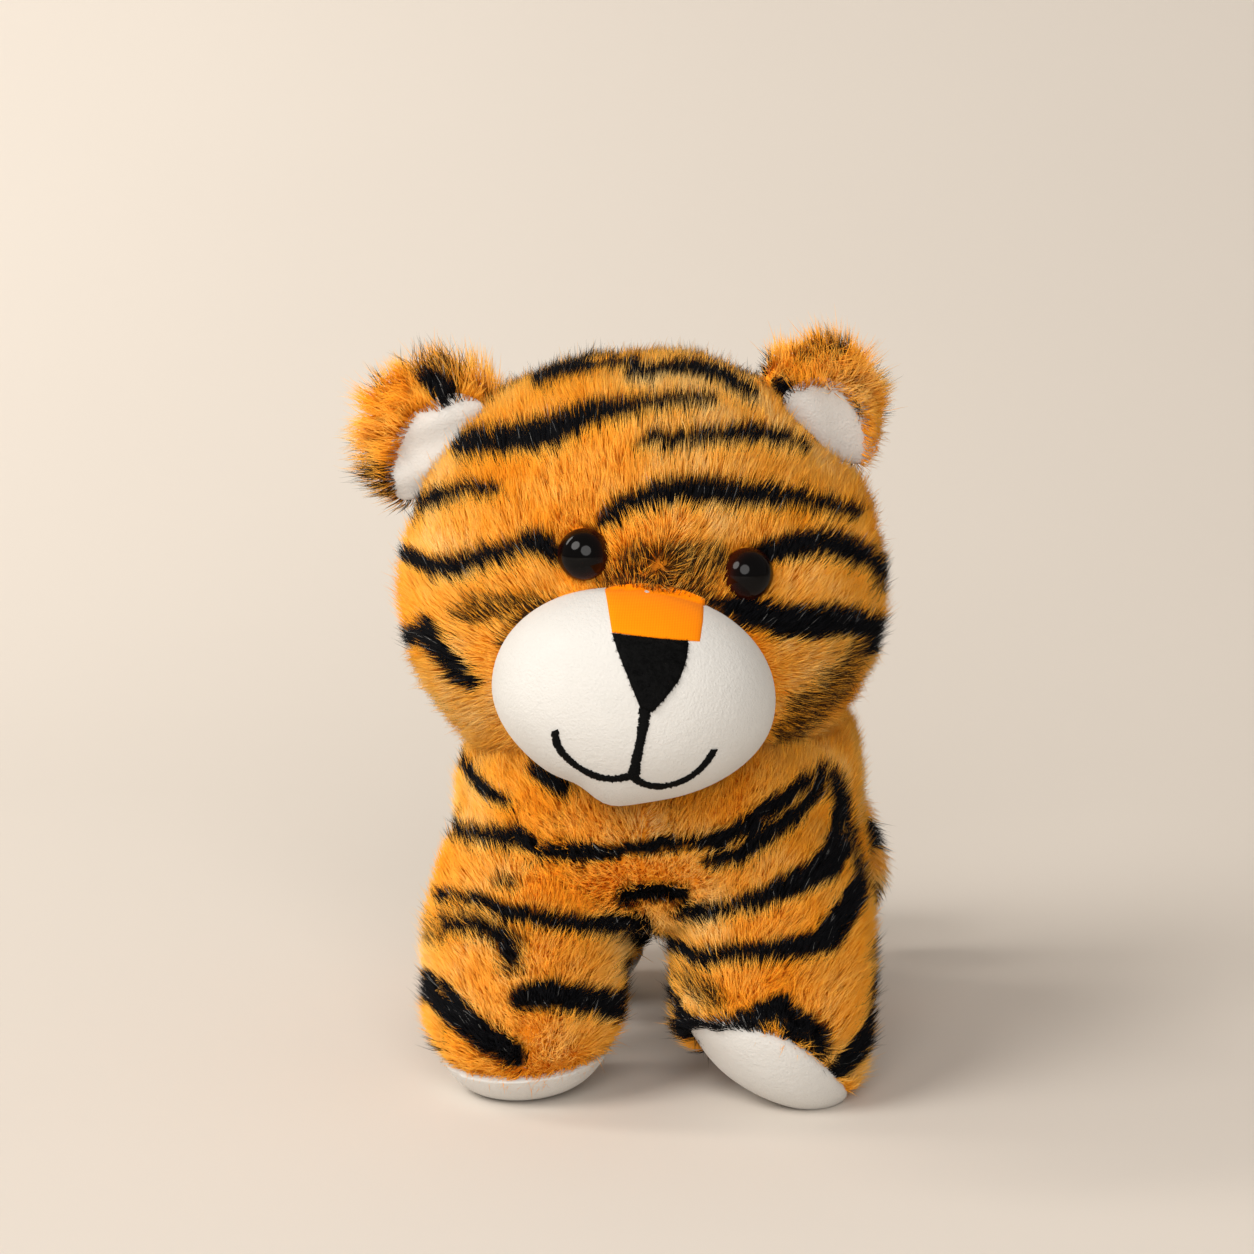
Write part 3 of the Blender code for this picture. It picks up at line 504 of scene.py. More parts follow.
def grow(name, body, surface, painter, lay, keep, length, lean=0.75, width=0.00015, density=5.3,
         panels=ONE_PANEL, finish=tiger_fur, tuft=0.0024, gather=0.26, mess=0.19,
         seed=1, trim=None):
    """Pile on a surface, one or more objects to each of its panels.

    painter gives the black of a place, lay the way the pile is brushed, keep where it grows and
    trim how much of its length it has there. lean is how far it lies over, in radians, gather how
    far tips move to their tuft's middle, and mess how much strands differ. Sides that face away
    from the camera get fewer, thicker strands.
    """
    chance = np.random.default_rng(seed + 1000)
    roots, out = sown(surface, density * STRANDS_SHARE, seed)
    hidden = out @ BACK < -0.2
    stays = keep(roots, out) & (~hidden | (chance.random(len(roots)) < HIDDEN_SHARE))
    roots, out, hidden = roots[stays], out[stays], hidden[stays]
    count = len(roots)

    group = tufts(roots, tuft, seed)
    wide_group = tufts(roots, tuft * 3.2, seed + 9)
    swing = chance.normal(size=(group.max() + 1, 3))[group] * mess
    swing += chance.normal(size=(wide_group.max() + 1, 3))[wide_group] * mess * 0.7
    brushed = lay(roots, out) + swing + chance.normal(size=(count, 3)) * mess
    brushed = unit(brushed - out * (brushed * out).sum(1, keepdims=True))
    angle = lean * (1 + 0.20 * rough(roots, 0.012, seed + 3)) + chance.normal(size=count) * 0.13
    angle = angle[:, None]

    reach = length * (1 + 0.13 * chance.normal(size=count) + 0.08 * rough(roots, 0.009, seed + 4))
    reach = reach * np.where(chance.random(count) > 0.97, 1.35, 1.0)
    if trim is not None:
        reach = reach * trim(roots, out)
    reach = np.clip(reach, length * 0.25, length * 1.5)[:, None]
    first = out * np.cos(angle * 0.65) + brushed * np.sin(angle * 0.65)
    second = out * np.cos(angle * 1.3) + brushed * np.sin(angle * 1.3)
    base = roots - out * ROOT_DEPTH
    middle = base + first * reach * 0.5
    tip = middle + second * reach * 0.5
    totals = np.stack([np.bincount(group, tip[:, k]) for k in range(3)], axis=1)
    mean = totals / np.bincount(group)[:, None]
    tip = tip + (mean[group] - tip) * gather * chance.random((count, 1))

    side = unit(np.cross(second, out + chance.normal(size=(count, 3)) * 0.8))
    front = unit(np.cross(side, second))
    girth = width / math.sqrt(STRANDS_SHARE) * (0.75 + 0.5 * chance.random(count))
    girth = girth * np.where(hidden, HIDDEN_GIRTH, 1.0)
    corners = (math.pi / 2, math.pi * 7 / 6, math.pi * 11 / 6)
    turns = np.array([[math.cos(corner), math.sin(corner)] for corner in corners])
    ring = (side[:, None] * turns[:, :1] + front[:, None] * turns[:, 1:]) * girth[:, None, None]
    levels = [base[:, None] + ring * 0.60, middle[:, None] + ring * 0.50, tip[:, None]]
    points = np.concatenate(levels, axis=1)
    points[..., 2] = np.maximum(points[..., 2], ABOVE_FLOOR)

    ragged, luck = chance.normal(size=count), chance.random(count)
    black = painter(middle * 0.6 + tip * 0.4, out, ragged, luck)
    tone = 0.65 * chance.random(count) + 0.25 * chance.random(group.max() + 1)[group]
    # a few strands take the top tone, which paints a glint, a painted highlight, at a black strand's tip
    tone = np.where(luck > 0.985, 1.0, tone)
    each_point = (1, STRAND_POINTS)
    coat = np.stack([np.tile(black[:, None], each_point), np.tile(ALONG, (count, 1)),
                     np.tile(tone[:, None], each_point)], axis=-1)

    label = panels[1](roots, out)
    made = 0
    for k, panel in enumerate(panels[0]):
        mine = (roots, np.flatnonzero(label == k))
        for thing in strand_pieces(name + panel, mine, points, coat, finish):
            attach(thing, body)
            made += 1
    print(f"{name}: {count} strands in {made} pieces")


# %% [markdown]
# The stripes are printed on the pile, and each is unlike the next, so they are brushed on one by one:
# a stroke is a few pixels of the photograph, each with the stroke's thickness there. A strand is
# black when its outer part is seen inside a stroke. Deciding strand by strand gives the ragged
# edge that a print on long pile has, with tips of one colour over the other. A smudge is a place
# where the print is thin, so that only some of its strands are black.

# %% Strokes seen in the photograph
HEAD_STROKES = [[(537, 380, 11), (560, 369, 12), (598, 359, 12), (636, 359, 10)], [(632, 373, 12),
    (667, 365, 14), (697, 365, 15), (728, 376, 15), (751, 392, 12)], [(462, 444, 22), (502, 438, 32),
    (548, 430, 32), (590, 411, 24), (636, 403, 15), (674, 398, 12), (713, 396, 9)], [(636, 443, 7),
    (655, 436, 14), (694, 434, 14), (736, 432, 16), (770, 432, 18), (789, 438, 15), (808, 447, 9)],
    [(395, 520, 16), (418, 507, 14), (445, 491, 14), (475, 486, 14), (495, 487, 9)], [(602, 518, 14),
    (621, 503, 18), (655, 491, 22), (694, 487, 26), (732, 491, 26), (770, 493, 22), (808, 497, 18),
    (840, 506, 15), (858, 512, 9)], [(404, 553, 14), (430, 566, 19), (456, 564, 19), (491, 553, 19),
    (521, 543, 21), (540, 541, 22), (562, 558, 15)], [(760, 551, 20), (789, 545, 27), (820, 539, 26),
    (843, 545, 26), (866, 556, 22), (881, 572, 16), (884, 590, 8)], [(716, 602, 12), (751, 610, 28),
    (789, 620, 31), (828, 620, 31), (858, 621, 30), (877, 629, 24), (870, 648, 14)], [(408, 640, 16),
    (426, 625, 20), (433, 644, 20), (449, 667, 20), (468, 683, 14)], [(428, 700, 7), (440, 716, 12),
    (452, 732, 9)]]
HEAD_SMUDGES = [[(458, 612, 16), (490, 612, 18), (521, 606, 9)], [(500, 640, 9), (512, 622, 12),
    (530, 607, 10), (552, 599, 5)], [(862, 645, 16), (839, 686, 26), (805, 713, 30), (790, 752, 26)],
    [(608, 578, 22), (640, 558, 26), (668, 552, 24), (718, 560, 28)], [(636, 588, 26), (704, 590, 24)],
    [(655, 575, 26), (692, 575, 24)], [(470, 602, 14), (500, 606, 16), (535, 596, 10)]]
BACK_OF_HEAD_STROKES = [[(520, 640, 8), (560, 628, 18), (640, 632, 26), (720, 624, 18), (760, 634, 8)],
    [(500, 600, 10), (560, 585, 18), (620, 590, 10)], [(640, 592, 10), (700, 580, 20), (770, 590, 10)],
    [(480, 690, 10), (540, 680, 22), (610, 690, 18), (650, 684, 8)], [(630, 672, 8), (700, 668, 20),
    (780, 676, 22), (830, 668, 10)], [(540, 735, 10), (610, 728, 20), (700, 732, 20), (760, 724, 8)],
    [(470, 510, 10), (530, 500, 18), (580, 512, 10)]]
# The last two body strokes are painted shade, not print: they darken the belly and the inner edge of the
# animal's right front leg between the front legs, where the underside lies in shade.
BODY_STROKES = [[(455, 750, 11), (473, 776, 12), (493, 796, 12), (508, 799, 9)], [(533, 766, 14),
    (559, 783, 20)], [(450, 829, 14), (483, 833, 16), (513, 833, 22), (539, 848, 16), (572, 853, 16),
    (599, 853, 14), (639, 849, 13), (682, 844, 14), (715, 841, 16), (748, 826, 18), (775, 803, 16),
    (808, 780, 14)], [(708, 862, 11), (738, 856, 16), (761, 839, 16), (791, 819, 14), (818, 790, 12),
    (823, 766, 10)], [(677, 919, 7), (698, 911, 12), (732, 906, 14), (765, 896, 18), (785, 886, 26),
    (828, 866, 28), (841, 839, 26), (843, 809, 18), (834, 776, 13)], [(625, 899, 16), (652, 894, 18),
    (682, 896, 14)], [(460, 896, 7), (483, 899, 10), (509, 912, 14), (539, 917, 16), (572, 922, 16),
    (599, 924, 16), (632, 925, 14), (645, 925, 11)], [(440, 896, 13), (446, 896, 12)], [(423, 982, 24),
    (440, 995, 27), (460, 1018, 28), (483, 1038, 28), (513, 1058, 25)], [(523, 998, 26), (549, 995, 28),
    (582, 998, 28), (630, 1008, 27)], [(448, 926, 7), (478, 924, 10), (500, 937, 15), (512, 955, 14)],
    [(416, 1036, 15), (436, 1063, 13)], [(677, 944, 10), (698, 959, 14), (732, 950, 14), (765, 950, 18),
    (798, 947, 22), (828, 939, 27), (844, 916, 27), (858, 892, 22), (862, 866, 10)], [(663, 992, 20),
    (675, 1018, 26), (698, 1028, 22), (732, 1025, 16), (758, 1015, 20), (781, 1008, 24), (798, 1025, 24),
    (821, 1032, 22), (824, 1048, 18)], [(670, 1012, 20), (680, 1036, 28), (697, 1046, 20)],
    [(880, 940, 10), (880, 998, 16), (873, 1032, 18), (854, 1055, 20), (820, 1083, 16)], [(854, 843, 8),
    (861, 872, 8)], [(632, 936, 14), (676, 947, 14)], [(626, 962, 8), (632, 986, 8)]]
BODY_SMUDGES = [[(430, 935, 16), (450, 919, 20), (476, 919, 20), (499, 932, 22), (514, 949, 22),
    (509, 965, 18)], [(500, 878, 12), (512, 882, 12)], [(683, 975, 16), (712, 1000, 20)]]
EAR_STROKES = [[(424, 374, 16), (446, 388, 24), (448, 398, 14)], [(392, 460, 10), (386, 478, 12)],
    [(396, 508, 20), (410, 514, 16)], [(352, 478, 12), (362, 488, 12)], [(781, 384, 14), (792, 394, 20),
    (788, 412, 12)], [(840, 343, 10), (846, 340, 8)], [(856, 408, 6), (862, 424, 6)], [(858, 482, 12),
    (868, 490, 10)]]
EAR_SMUDGES = [[(402, 346, 26), (430, 346, 36), (456, 358, 26)], [(424, 362, 22), (440, 372, 24)],
    [(524, 376, 18), (512, 402, 16)], [(806, 346, 18), (830, 334, 18)], [(366, 470, 16), (380, 505, 16)]]
print("strokes:", sum(map(len, (HEAD_STROKES, BACK_OF_HEAD_STROKES, BODY_STROKES, EAR_STROKES))))


# %% Painters
def inside(pixels, strokes):
    """How many pixels inside the nearest stroke each pixel lies; below 0 is outside."""
    deepest = np.full(len(pixels), -99.0)
    for stroke in strokes:
        for (x0, y0, w0), (x1, y1, w1) in zip(stroke[:-1], stroke[1:]):
            start, run = np.array([x0, y0]), np.array([x1 - x0, y1 - y0])
            share = np.clip(((pixels - start) @ run) / (run @ run), 0, 1)
            gap = np.linalg.norm(pixels - start - share[:, None] * run, axis=1)
            deepest = np.maximum(deepest, (w0 + (w1 - w0) * share) / 2 - gap)
    return deepest


def within(pixels, outline):
    """Whether each pixel lies inside an outline, by counting the edges to its right."""
    crossings = np.zeros(len(pixels), int)
    for (x0, y0), (x1, y1) in zip(outline, outline[1:] + outline[:1]):
        spans = (y0 > pixels[:, 1]) != (y1 > pixels[:, 1])
        meets = x0 + (pixels[:, 1] - y0) * (x1 - x0) / ((y1 - y0) or 1e-9)
        crossings += spans & (pixels[:, 0] < meets)
    return crossings % 2 == 1


def painted(strokes, smudges, hidden_side, facing_edge=0.02):
    """A painter: the strokes where the camera looks, and the hidden side's own bands elsewhere."""

    def painter(points, out, ragged, luck):
        pixels = seen_at(points)
        edge = ragged * 1.5 + rough(points, 0.003, 71) * 1.3 + 1.2
        black = np.where(inside(pixels, strokes) + edge > 0, 1.0, 0.0)
        smudge = np.clip((inside(pixels, smudges) + edge * 2 + 4) / 9, 0, 1)
        smudge = np.where(luck < 0.62 * smudge, 0.95, smudge * 0.14)
        there = np.maximum(black, smudge)
        elsewhere = np.where(hidden_side(points, out) + edge * 0.05 > 0, 1.0, 0.0)
        return np.where(out @ BACK > facing_edge, there, elsewhere)

    return painter


def bands(along_value, points, spacing, fullness, seed):
    """Uneven stripes: a wave along a length, with noise that bends, narrows and breaks it."""
    wave = np.sin(2 * np.pi * along_value / spacing + 1.5 * rough(points, 0.030, seed))
    return wave - 0.42 + fullness + 0.42 * rough(points, 0.022, seed + 1)


def paint_skin(thing, painter):
    """Paint a skin as the roots of the strands on it, since it shows between them."""
    points, out, _ = surface_of(thing)
    black = painter(points + out * 0.002, out, np.zeros(len(points)), np.full(len(points), 0.5))
    # the skin takes the dark root end of the colour: painted shade under the pile
    store_coat(thing.data, np.stack([black, 0 * black + 0.12, 0 * black + 0.35], axis=1))


def stuffed(thing, body, slot, fill, *nodes):
    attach(thing, body)
    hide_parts(*nodes)
    return thing


# %% [markdown]
# The body and the four legs are one bag of fur fabric: each side panel runs down into its legs. So
# their forms are joined into one skin by a voxel remesh, and smoothing rounds the creases where a
# leg leaves the body, as stuffing does. The left front foot is turned up at its inner side.

# %% Body and legs as one skin
BODY_LENGTH, CHEST_Y, BODY_Z = 0.1400, -0.0520, 0.0700
BODY_HALF_WIDTH, BODY_HALF_HEIGHT = 0.0535, 0.0320
LEG_HALF_DEPTH, LEG_UP, LEG_FALL, FLAT_CUT = 0.026, 0.047, 0.0275, 0.0005
FRONT_X, REAR_X, FRONT_Y, REAR_Y = 0.0305, 0.0290, -0.0295, 0.0600
FRONT_HALF_WIDTH, REAR_HALF_WIDTH = 0.0255, 0.0245
VOXEL, SMOOTHINGS = 0.0018, 14
STAND = NECK - np.array([-0.0030, -0.0100, 0.0870])

# How a sole lies: its slope to the side, its pitch to the front, and how high its seam is.
STRAIGHT, ROLLED = (0.06, 0.10, 0.0092), (0.40, -0.60, 0.0048)
ROLLED_FOOT = "front_leg_left"
LEGS = {"front_leg_right": (-FRONT_X, FRONT_Y, FRONT_HALF_WIDTH, STRAIGHT),
        "front_leg_left": (FRONT_X, FRONT_Y, FRONT_HALF_WIDTH, ROLLED),
        "rear_leg_right": (-REAR_X, REAR_Y, REAR_HALF_WIDTH, STRAIGHT),
        "rear_leg_left": (REAR_X, REAR_Y, REAR_HALF_WIDTH, STRAIGHT)}


def body_rings(inset):
    half_length = BODY_LENGTH / 2 - inset
    drawn_in = BODY_HALF_HEIGHT - inset
    grid, rise = swelling(BODY_HALF_WIDTH - inset, drawn_in, half_length, half_length, 0.52, 0.52, 0.80)
    swell = 1 - 0.05 * (1 - rise ** 2) ** 2 - 0.03 * rise
    height = grid[..., 1] * swell
    height = np.where(height < 0, height * (BODY_HALF_HEIGHT - 0.4 * inset) / drawn_in, height)
    lengthwise = CHEST_Y + BODY_LENGTH / 2 + grid[..., 2]
    laid = np.stack([grid[..., 0] * swell, lengthwise, BODY_Z + height], axis=-1)
    return laid[:, ::-1] + STAND


def leg_rings(leg, inset, low_inset):
    x, y, half_width, (slope, _, _) = LEGS[leg]
    grid, rise = swelling(half_width - inset, LEG_HALF_DEPTH - inset, LEG_UP - inset, LEG_FALL - low_inset,
                          0.55, 0.62)
    lowest = math.hypot(LEG_FALL, half_width * slope) - LEG_FALL
    share = np.clip(-rise / 0.8, 0, 1)
    rolled_up = (lowest - grid[..., 0] * slope) * share * share * (3 - 2 * share)
    grid[..., 2] += rolled_up + LEG_FALL - FLAT_CUT
    if x < 0:
        grid = grid[:, ::-1] * (-1, 1, 1)
    return grid + (x, y, 0) + STAND


parts = [ringed_object("body_part", body_rings(PILE_HEIGHT), tiger_fur)]
for leg in LEGS:
    parts.append(ringed_object("leg_part", leg_rings(leg, PILE_HEIGHT, PILE_HEIGHT * 0.6), tiger_fur))
joined = bmesh.new()
for part in parts:
    joined.from_mesh(part.data)
body_skin = parts[0]
joined.to_mesh(body_skin.data)
joined.free()
for part in parts[1:]:
    bpy.data.objects.remove(part)
body_skin.name = "body_skin"
remesh = body_skin.modifiers.new("one_bag", "REMESH")
remesh.mode = "VOXEL"
remesh.voxel_size = VOXEL
remesh.use_smooth_shade = True
soften = body_skin.modifiers.new("stuffed_out", "SMOOTH")
soften.factor = 0.5
soften.iterations = SMOOTHINGS
graph = bpy.context.evaluated_depsgraph_get()
skin_mesh = bpy.data.meshes.new_from_object(body_skin.evaluated_get(graph))
body_skin.modifiers.clear()
body_skin.data = skin_mesh
skin_mesh.materials.clear()
skin_mesh.materials.append(tiger_fur)
body_surface = surface_of(body_skin)
print("body skin:", len(body_surface[0]), "points")

# %% [markdown]
# The head turns on the neck, so it is a skin of its own, a little wider than deep, with full
# cheeks. The face sits on it with a roll of seven degrees, and the muzzle is a white pouch sewn to
# its front, an oval whose depth at any place has a formula. That formula also tells where a pixel
# of the photograph lands on the muzzle, which the nose and the mouth need.

# %% The head and the face frame
HEAD_TURN = turned_about("Z", math.radians(5))
FACE_ROLL = turned_about("Y", math.radians(7.3))
HEAD_CENTRE = np.array([0, 0, 0.037])
HEAD_SIZES = (0.0600, 0.0500, 0.0585, 0.0500)
MUZZLE_SIZES = np.array([0.0335, 0.0250, 0.0270])
MUZZLE_MIDDLE = np.array([0, -0.0460, -0.0186])
MUZZLE_SQUARE = 0.96
NEAREST, FARTHEST = 0.60, 0.775


def chin_narrowing(z):
    """How much narrower the muzzle is towards its chin, at a height in the face frame."""
    return 1 - 0.15 * np.clip((MUZZLE_MIDDLE[2] - z) / MUZZLE_SIZES[1], 0, 1) ** 2


def from_face(points):
    return ((points @ FACE_ROLL.T) + HEAD_CENTRE) @ HEAD_TURN.T + NECK


def to_head(points):
    return (points - NECK) @ HEAD_TURN - HEAD_CENTRE


def to_face(points):
    return to_head(points) @ FACE_ROLL


def head_rings(inset):
    grid, rise = swelling(*(size - inset for size in HEAD_SIZES), 0.85, 0.75)
    grid[..., 1] *= 1 + 0.12 * np.clip(-rise, 0, 1)
    return (grid + HEAD_CENTRE) @ HEAD_TURN.T + NECK


def inside_head(points, grow_by):
    """Above 0 inside the head's form grown by that much."""
    x, y, z = to_head(points).T
    height = np.where(z > 0, HEAD_SIZES[2], HEAD_SIZES[3]) + grow_by
    across = (x / (HEAD_SIZES[0] + grow_by)) ** 2
    deep = (y / (HEAD_SIZES[1] * 1.06 + grow_by)) ** 2
    return 1 - np.sqrt(across + deep + (z / height) ** 2)


def muzzle_reach(x, z):
    """How far the muzzle stands in front of its middle at a place in the face frame, and the place's
    share of the way out to the outline."""
    power = 2 / MUZZLE_SQUARE
    across = np.abs(x / chin_narrowing(z) / MUZZLE_SIZES[0]) ** power
    upward = np.abs((z - MUZZLE_MIDDLE[2]) / MUZZLE_SIZES[1]) ** power
    share = (across + upward) ** (MUZZLE_SQUARE / 2)
    return MUZZLE_SIZES[2] * np.sqrt(np.clip(1 - np.clip(share, 0, 1) ** (2 / 0.9), 0, 1)), share


def muzzle_share(local):
    return muzzle_reach(local[:, 0], local[:, 2])[1]


def onto_muzzle(pixels):
    """The places in the face frame where pixels of the photograph land on the muzzle."""
    directions = rays_through(pixels)
    near, far = np.full(len(directions), NEAREST), np.full(len(directions), FARTHEST)
    for _ in range(44):
        reach = (near + far) / 2
        local = to_face(VIEWPOINT + directions * reach[:, None])
        behind = local[:, 1] > MUZZLE_MIDDLE[1] - muzzle_reach(local[:, 0], local[:, 2])[0]
        near, far = np.where(behind, near, reach), np.where(behind, reach, far)
    return to_face(VIEWPOINT + directions * near[:, None])


head_skin = ringed_object("head_skin", head_rings(PILE_HEIGHT), tiger_fur)
head_surface = surface_of(head_skin)
print("head skin:", len(head_surface[0]), "points")

# %% [markdown]
# The eyes are found from their solids: the long axis of each is the way it looks. They are turned
# again here with finer steps, so that the reflections on the domes are round.

# %% Where the eyes are
EYE_RADIUS, EYE_DOME, EYE_RIM = 0.0062, 0.0050, 0.0010


def off_axis(points, seat, axis):
    """How far each point lies from an axis, and how far along it."""
    away = points - seat
    return np.linalg.norm(away - (away @ axis)[:, None] * axis, axis=1), away @ axis


eyes = {}
for side in ("right", "left"):
    solid = surface_of(frame["nodes"]["eye_" + side])[0]
    axis = np.linalg.svd(solid - solid.mean(0), full_matrices=False)[2][0]
    axis = axis * -np.sign(axis[1])
    gap = off_axis(solid, solid.mean(0), axis)[0]
    widest = solid[gap > gap.max() - 0.0004]
    heights = widest @ axis
    seat = widest.mean(0) + axis * (heights.min() - heights.mean())
    eyes[side] = (seat, axis)
    print(f"eye_{side} sits at", np.round(seat, 4), "and looks along", np.round(axis, 2))


def eye_gap(points):
    """How far each point lies from the nearer eye's axis, in front of the head."""
    gaps = []
    for seat, axis in eyes.values():
        gap, ahead = off_axis(points, seat, axis)
        gaps.append(gap + np.where(ahead < -0.01, 1.0, 0.0))
    return np.minimum(*gaps)


# %% [markdown]
# The head's coat is brushed upward on the forehead, lies back over the crown, and lies away from
# the muzzle. Over the nose it springs from a whorl. Pile is kept off the muzzle and the eyes, and
# off the opening for the neck. It is short beside the muzzle, the eyes and the left ear's lining.

# %% Brushing the head
CHEEK_LINE = -0.004
WHORL = (657, 560)
LINING_EDGE = [[(782, 400, 30), (802, 436, 36), (830, 456, 36), (862, 480, 30)]]
middle_of_muzzle = from_face(MUZZLE_MIDDLE[None])[0]


def head_lay(points, out):
    lie = -np.cross([1.0, 0.0, 0.0], out) + (0, 0.25, 0.35)
    away = points - middle_of_muzzle
    local = to_face(points)
    in_front = local[:, 1] < 0
    near = np.clip(1.55 - muzzle_share(local), 0, 1) * in_front
    low = np.clip((CHEEK_LINE - (points[:, 2] - NECK[2] - HEAD_CENTRE[2])) / 0.02, 0, 1)
    downward = np.stack([np.sign(away[:, 0]) * 0.9, 0 * low + 0.5, 0 * low - 0.35], 1)
    lie = lie * (1 - low)[:, None] + downward * low[:, None]
    lie = lie + unit(away) * (near * 3.0)[:, None]
    off = seen_at(points) - WHORL
    uneven = (0.75 + 0.35 * rough(points, 0.006, 37)).clip(0, 1)
    whorl = np.exp(-(off ** 2).sum(1) / 2200) * in_front * uneven
    radiating = unit(off[:, :1] * RIGHT - off[:, 1:] * UP)
    return lie * (1 - whorl)[:, None] + radiating * (whorl * 1.1)[:, None]


def head_keep(points, out):
    local = to_face(points)
    off_muzzle = (muzzle_share(local) > 0.955) | (local[:, 1] > -0.012)
    from_neck = np.hypot(points[:, 0] - NECK[0], points[:, 1] - NECK[1])
    in_opening = (points[:, 2] < NECK[2] + 0.004) & (from_neck < 0.030)
    return off_muzzle & (eye_gap(points) > EYE_RADIUS * 0.93) & ~in_opening


def head_trim(points, out):
    local = to_face(points)
    by_ear = np.clip(inside(seen_at(points), LINING_EDGE) / 10, 0, 1) * (out @ BACK > -0.3)
    by_muzzle = np.clip((muzzle_share(local) - 0.985) / 0.30, 0, 1)
    by_eye = np.clip((eye_gap(points) - EYE_RADIUS) / 0.004, 0, 1)
    face = np.where(local[:, 1] < 0, (0.55 + 0.45 * by_muzzle), 1.0)
    return face * (0.6 + 0.4 * by_eye) * (1 - 0.65 * by_ear)


def head_bands(points, out):
    """Behind the head the print repeats, mirrored over the plane of its outline, and bands cross
    the crown."""
    centre = NECK + HEAD_CENTRE
    behind = ((points - centre) @ BACK)[:, None]
    mirrored = seen_at(points - 2 * behind * BACK)
    repeat = inside(mirrored, HEAD_STROKES + BACK_OF_HEAD_STROKES) * 0.1
    x, y, z = ((points - centre) @ HEAD_TURN).T
    over = bands(y + 0.25 * np.abs(x), points, 0.0200, -0.22, 57)
    over = over - 0.5 * np.clip(1 - np.abs(x) / 0.006, 0, 1)
    return np.where(out[:, 2] < -0.55, -1.0, np.where(z > 0.040, over, repeat))


HEAD_PANELS = ["_forehead", "_cheek_right", "_cheek_left", "_crown", "_back_right", "_back_left"]


def head_panel(points, out):
    x, y, z = to_head(points).T
    left = (x >= 0).astype(int)
    front = np.where(z > 0.012, 0, 1 + left)
    back = np.where(z > 0.020, 3, 4 + left)
    return np.where(y < -0.004, front, back)


head_painter = painted(HEAD_STROKES, HEAD_SMUDGES, head_bands, 0.28)
grow("head_fur", "head", head_surface, head_painter, head_lay, head_keep, 0.0076, lean=0.84,
     panels=(HEAD_PANELS, head_panel), seed=21, trim=head_trim)

# %% [markdown]
# The body's coat is brushed upward and outward. It is shorter in the seams of the chest, under the
# head and down to the soles, and there is none where the head covers the body.

# %% Brushing the body and the legs
CHEST_SEAMS = [[(625, 866, 9), (634, 895, 9), (646, 930, 9)], [(702, 858, 9), (690, 895, 9), (678, 930, 9)],
               [(541, 982, 8), (530, 1030, 8), (520, 1072, 8)]]
ROLLED_SOLE = [(704, 1036), (716, 1031), (740, 1032), (765, 1035), (790, 1043), (812, 1056), (828, 1071),
               (843, 1088), (854, 1100), (850, 1115), (800, 1118), (750, 1098), (715, 1070)]
PANEL_PLACES = ("chest", "flank", "haunch", "front_leg", "rear_leg")
BODY_PANELS = [f"_{place}_{side}" for place in PANEL_PLACES for side in ("right", "left")]


def above_sole(points):
    """How far a point lies above the nearest sole's seam, which rises where the foot is turned up."""
    best = np.full(len(points), 1.0)
    for x, y, half_width, (slope, pitch, sole_rise) in LEGS.values():
        local = points - (np.array([x, y, 0]) + STAND)
        near = np.hypot(local[:, 0], local[:, 1]) < half_width * 1.35
        rise = sole_rise - np.sign(x) * local[:, 0] * slope + local[:, 1] * pitch
        best = np.where(near, np.minimum(best, local[:, 2] - rise), best)
    return best


def body_lay(points, out):
    outward = np.sign(points[:, :1] - STAND[0]) * np.array([[0.25, 0, 0]])
    hem = np.clip(1 - above_sole(points) / 0.010, 0, 1)[:, None]
    return np.array([0.0, 0.22, 1.0]) * (1 - 1.1 * hem) + outward


def body_keep(points, out):
    in_rolled_sole = within(seen_at(points), ROLLED_SOLE) & (out @ BACK > 0) & (points[:, 2] < 0.022)
    on_sole = (above_sole(points) < 0.0) | in_rolled_sole
    return (inside_head(points, -0.0085) < 0) & ~on_sole


def body_trim(points, out):
    seam = np.where(out @ BACK > 0.1, inside(seen_at(points + out * 0.003), CHEST_SEAMS), -9.0)
    in_seam = np.clip((seam + 3) / 6, 0, 1)
    under = np.clip(inside_head(points, 0.004) / 0.10, 0, 1)
    low = np.clip(0.45 + above_sole(points) / 0.012, 0.45, 1)
    return (1 - 0.45 * in_seam) * (1 - 0.4 * under) * low


def body_bands(points, out):
    """Bands that stand up the flanks and lie across the legs and the rump."""
    x, y, z = (points - STAND).T
    flank = bands(y - 0.35 * np.abs(z - 0.07), points, 0.0245, -0.10 + 4.0 * (z - 0.055), 31)
    leg = bands(z + 0.15 * y, points, 0.0185, -0.05, 41)
    rump = bands(z + 0.30 * np.abs(x), points, 0.0200, -0.12, 47)
    return np.where(z < 0.040, leg, np.where(out[:, 1] > 0.62, rump, flank))


def body_panel(points, out):
    x, y, z = (points - STAND).T
    left = (x > 0).astype(int)
    trunk = np.where(y < -0.020, 0, np.where(y < 0.034, 2, 4))
    return np.where(z < 0.043, np.where(y < 0.014, 6, 8), trunk) + left


body_painter = painted(BODY_STROKES, BODY_SMUDGES, body_bands)
grow("body_fur", "torso", body_surface, body_painter, body_lay, body_keep, 0.0076, lean=0.76,
     panels=(BODY_PANELS, body_panel), seed=22, trim=body_trim)
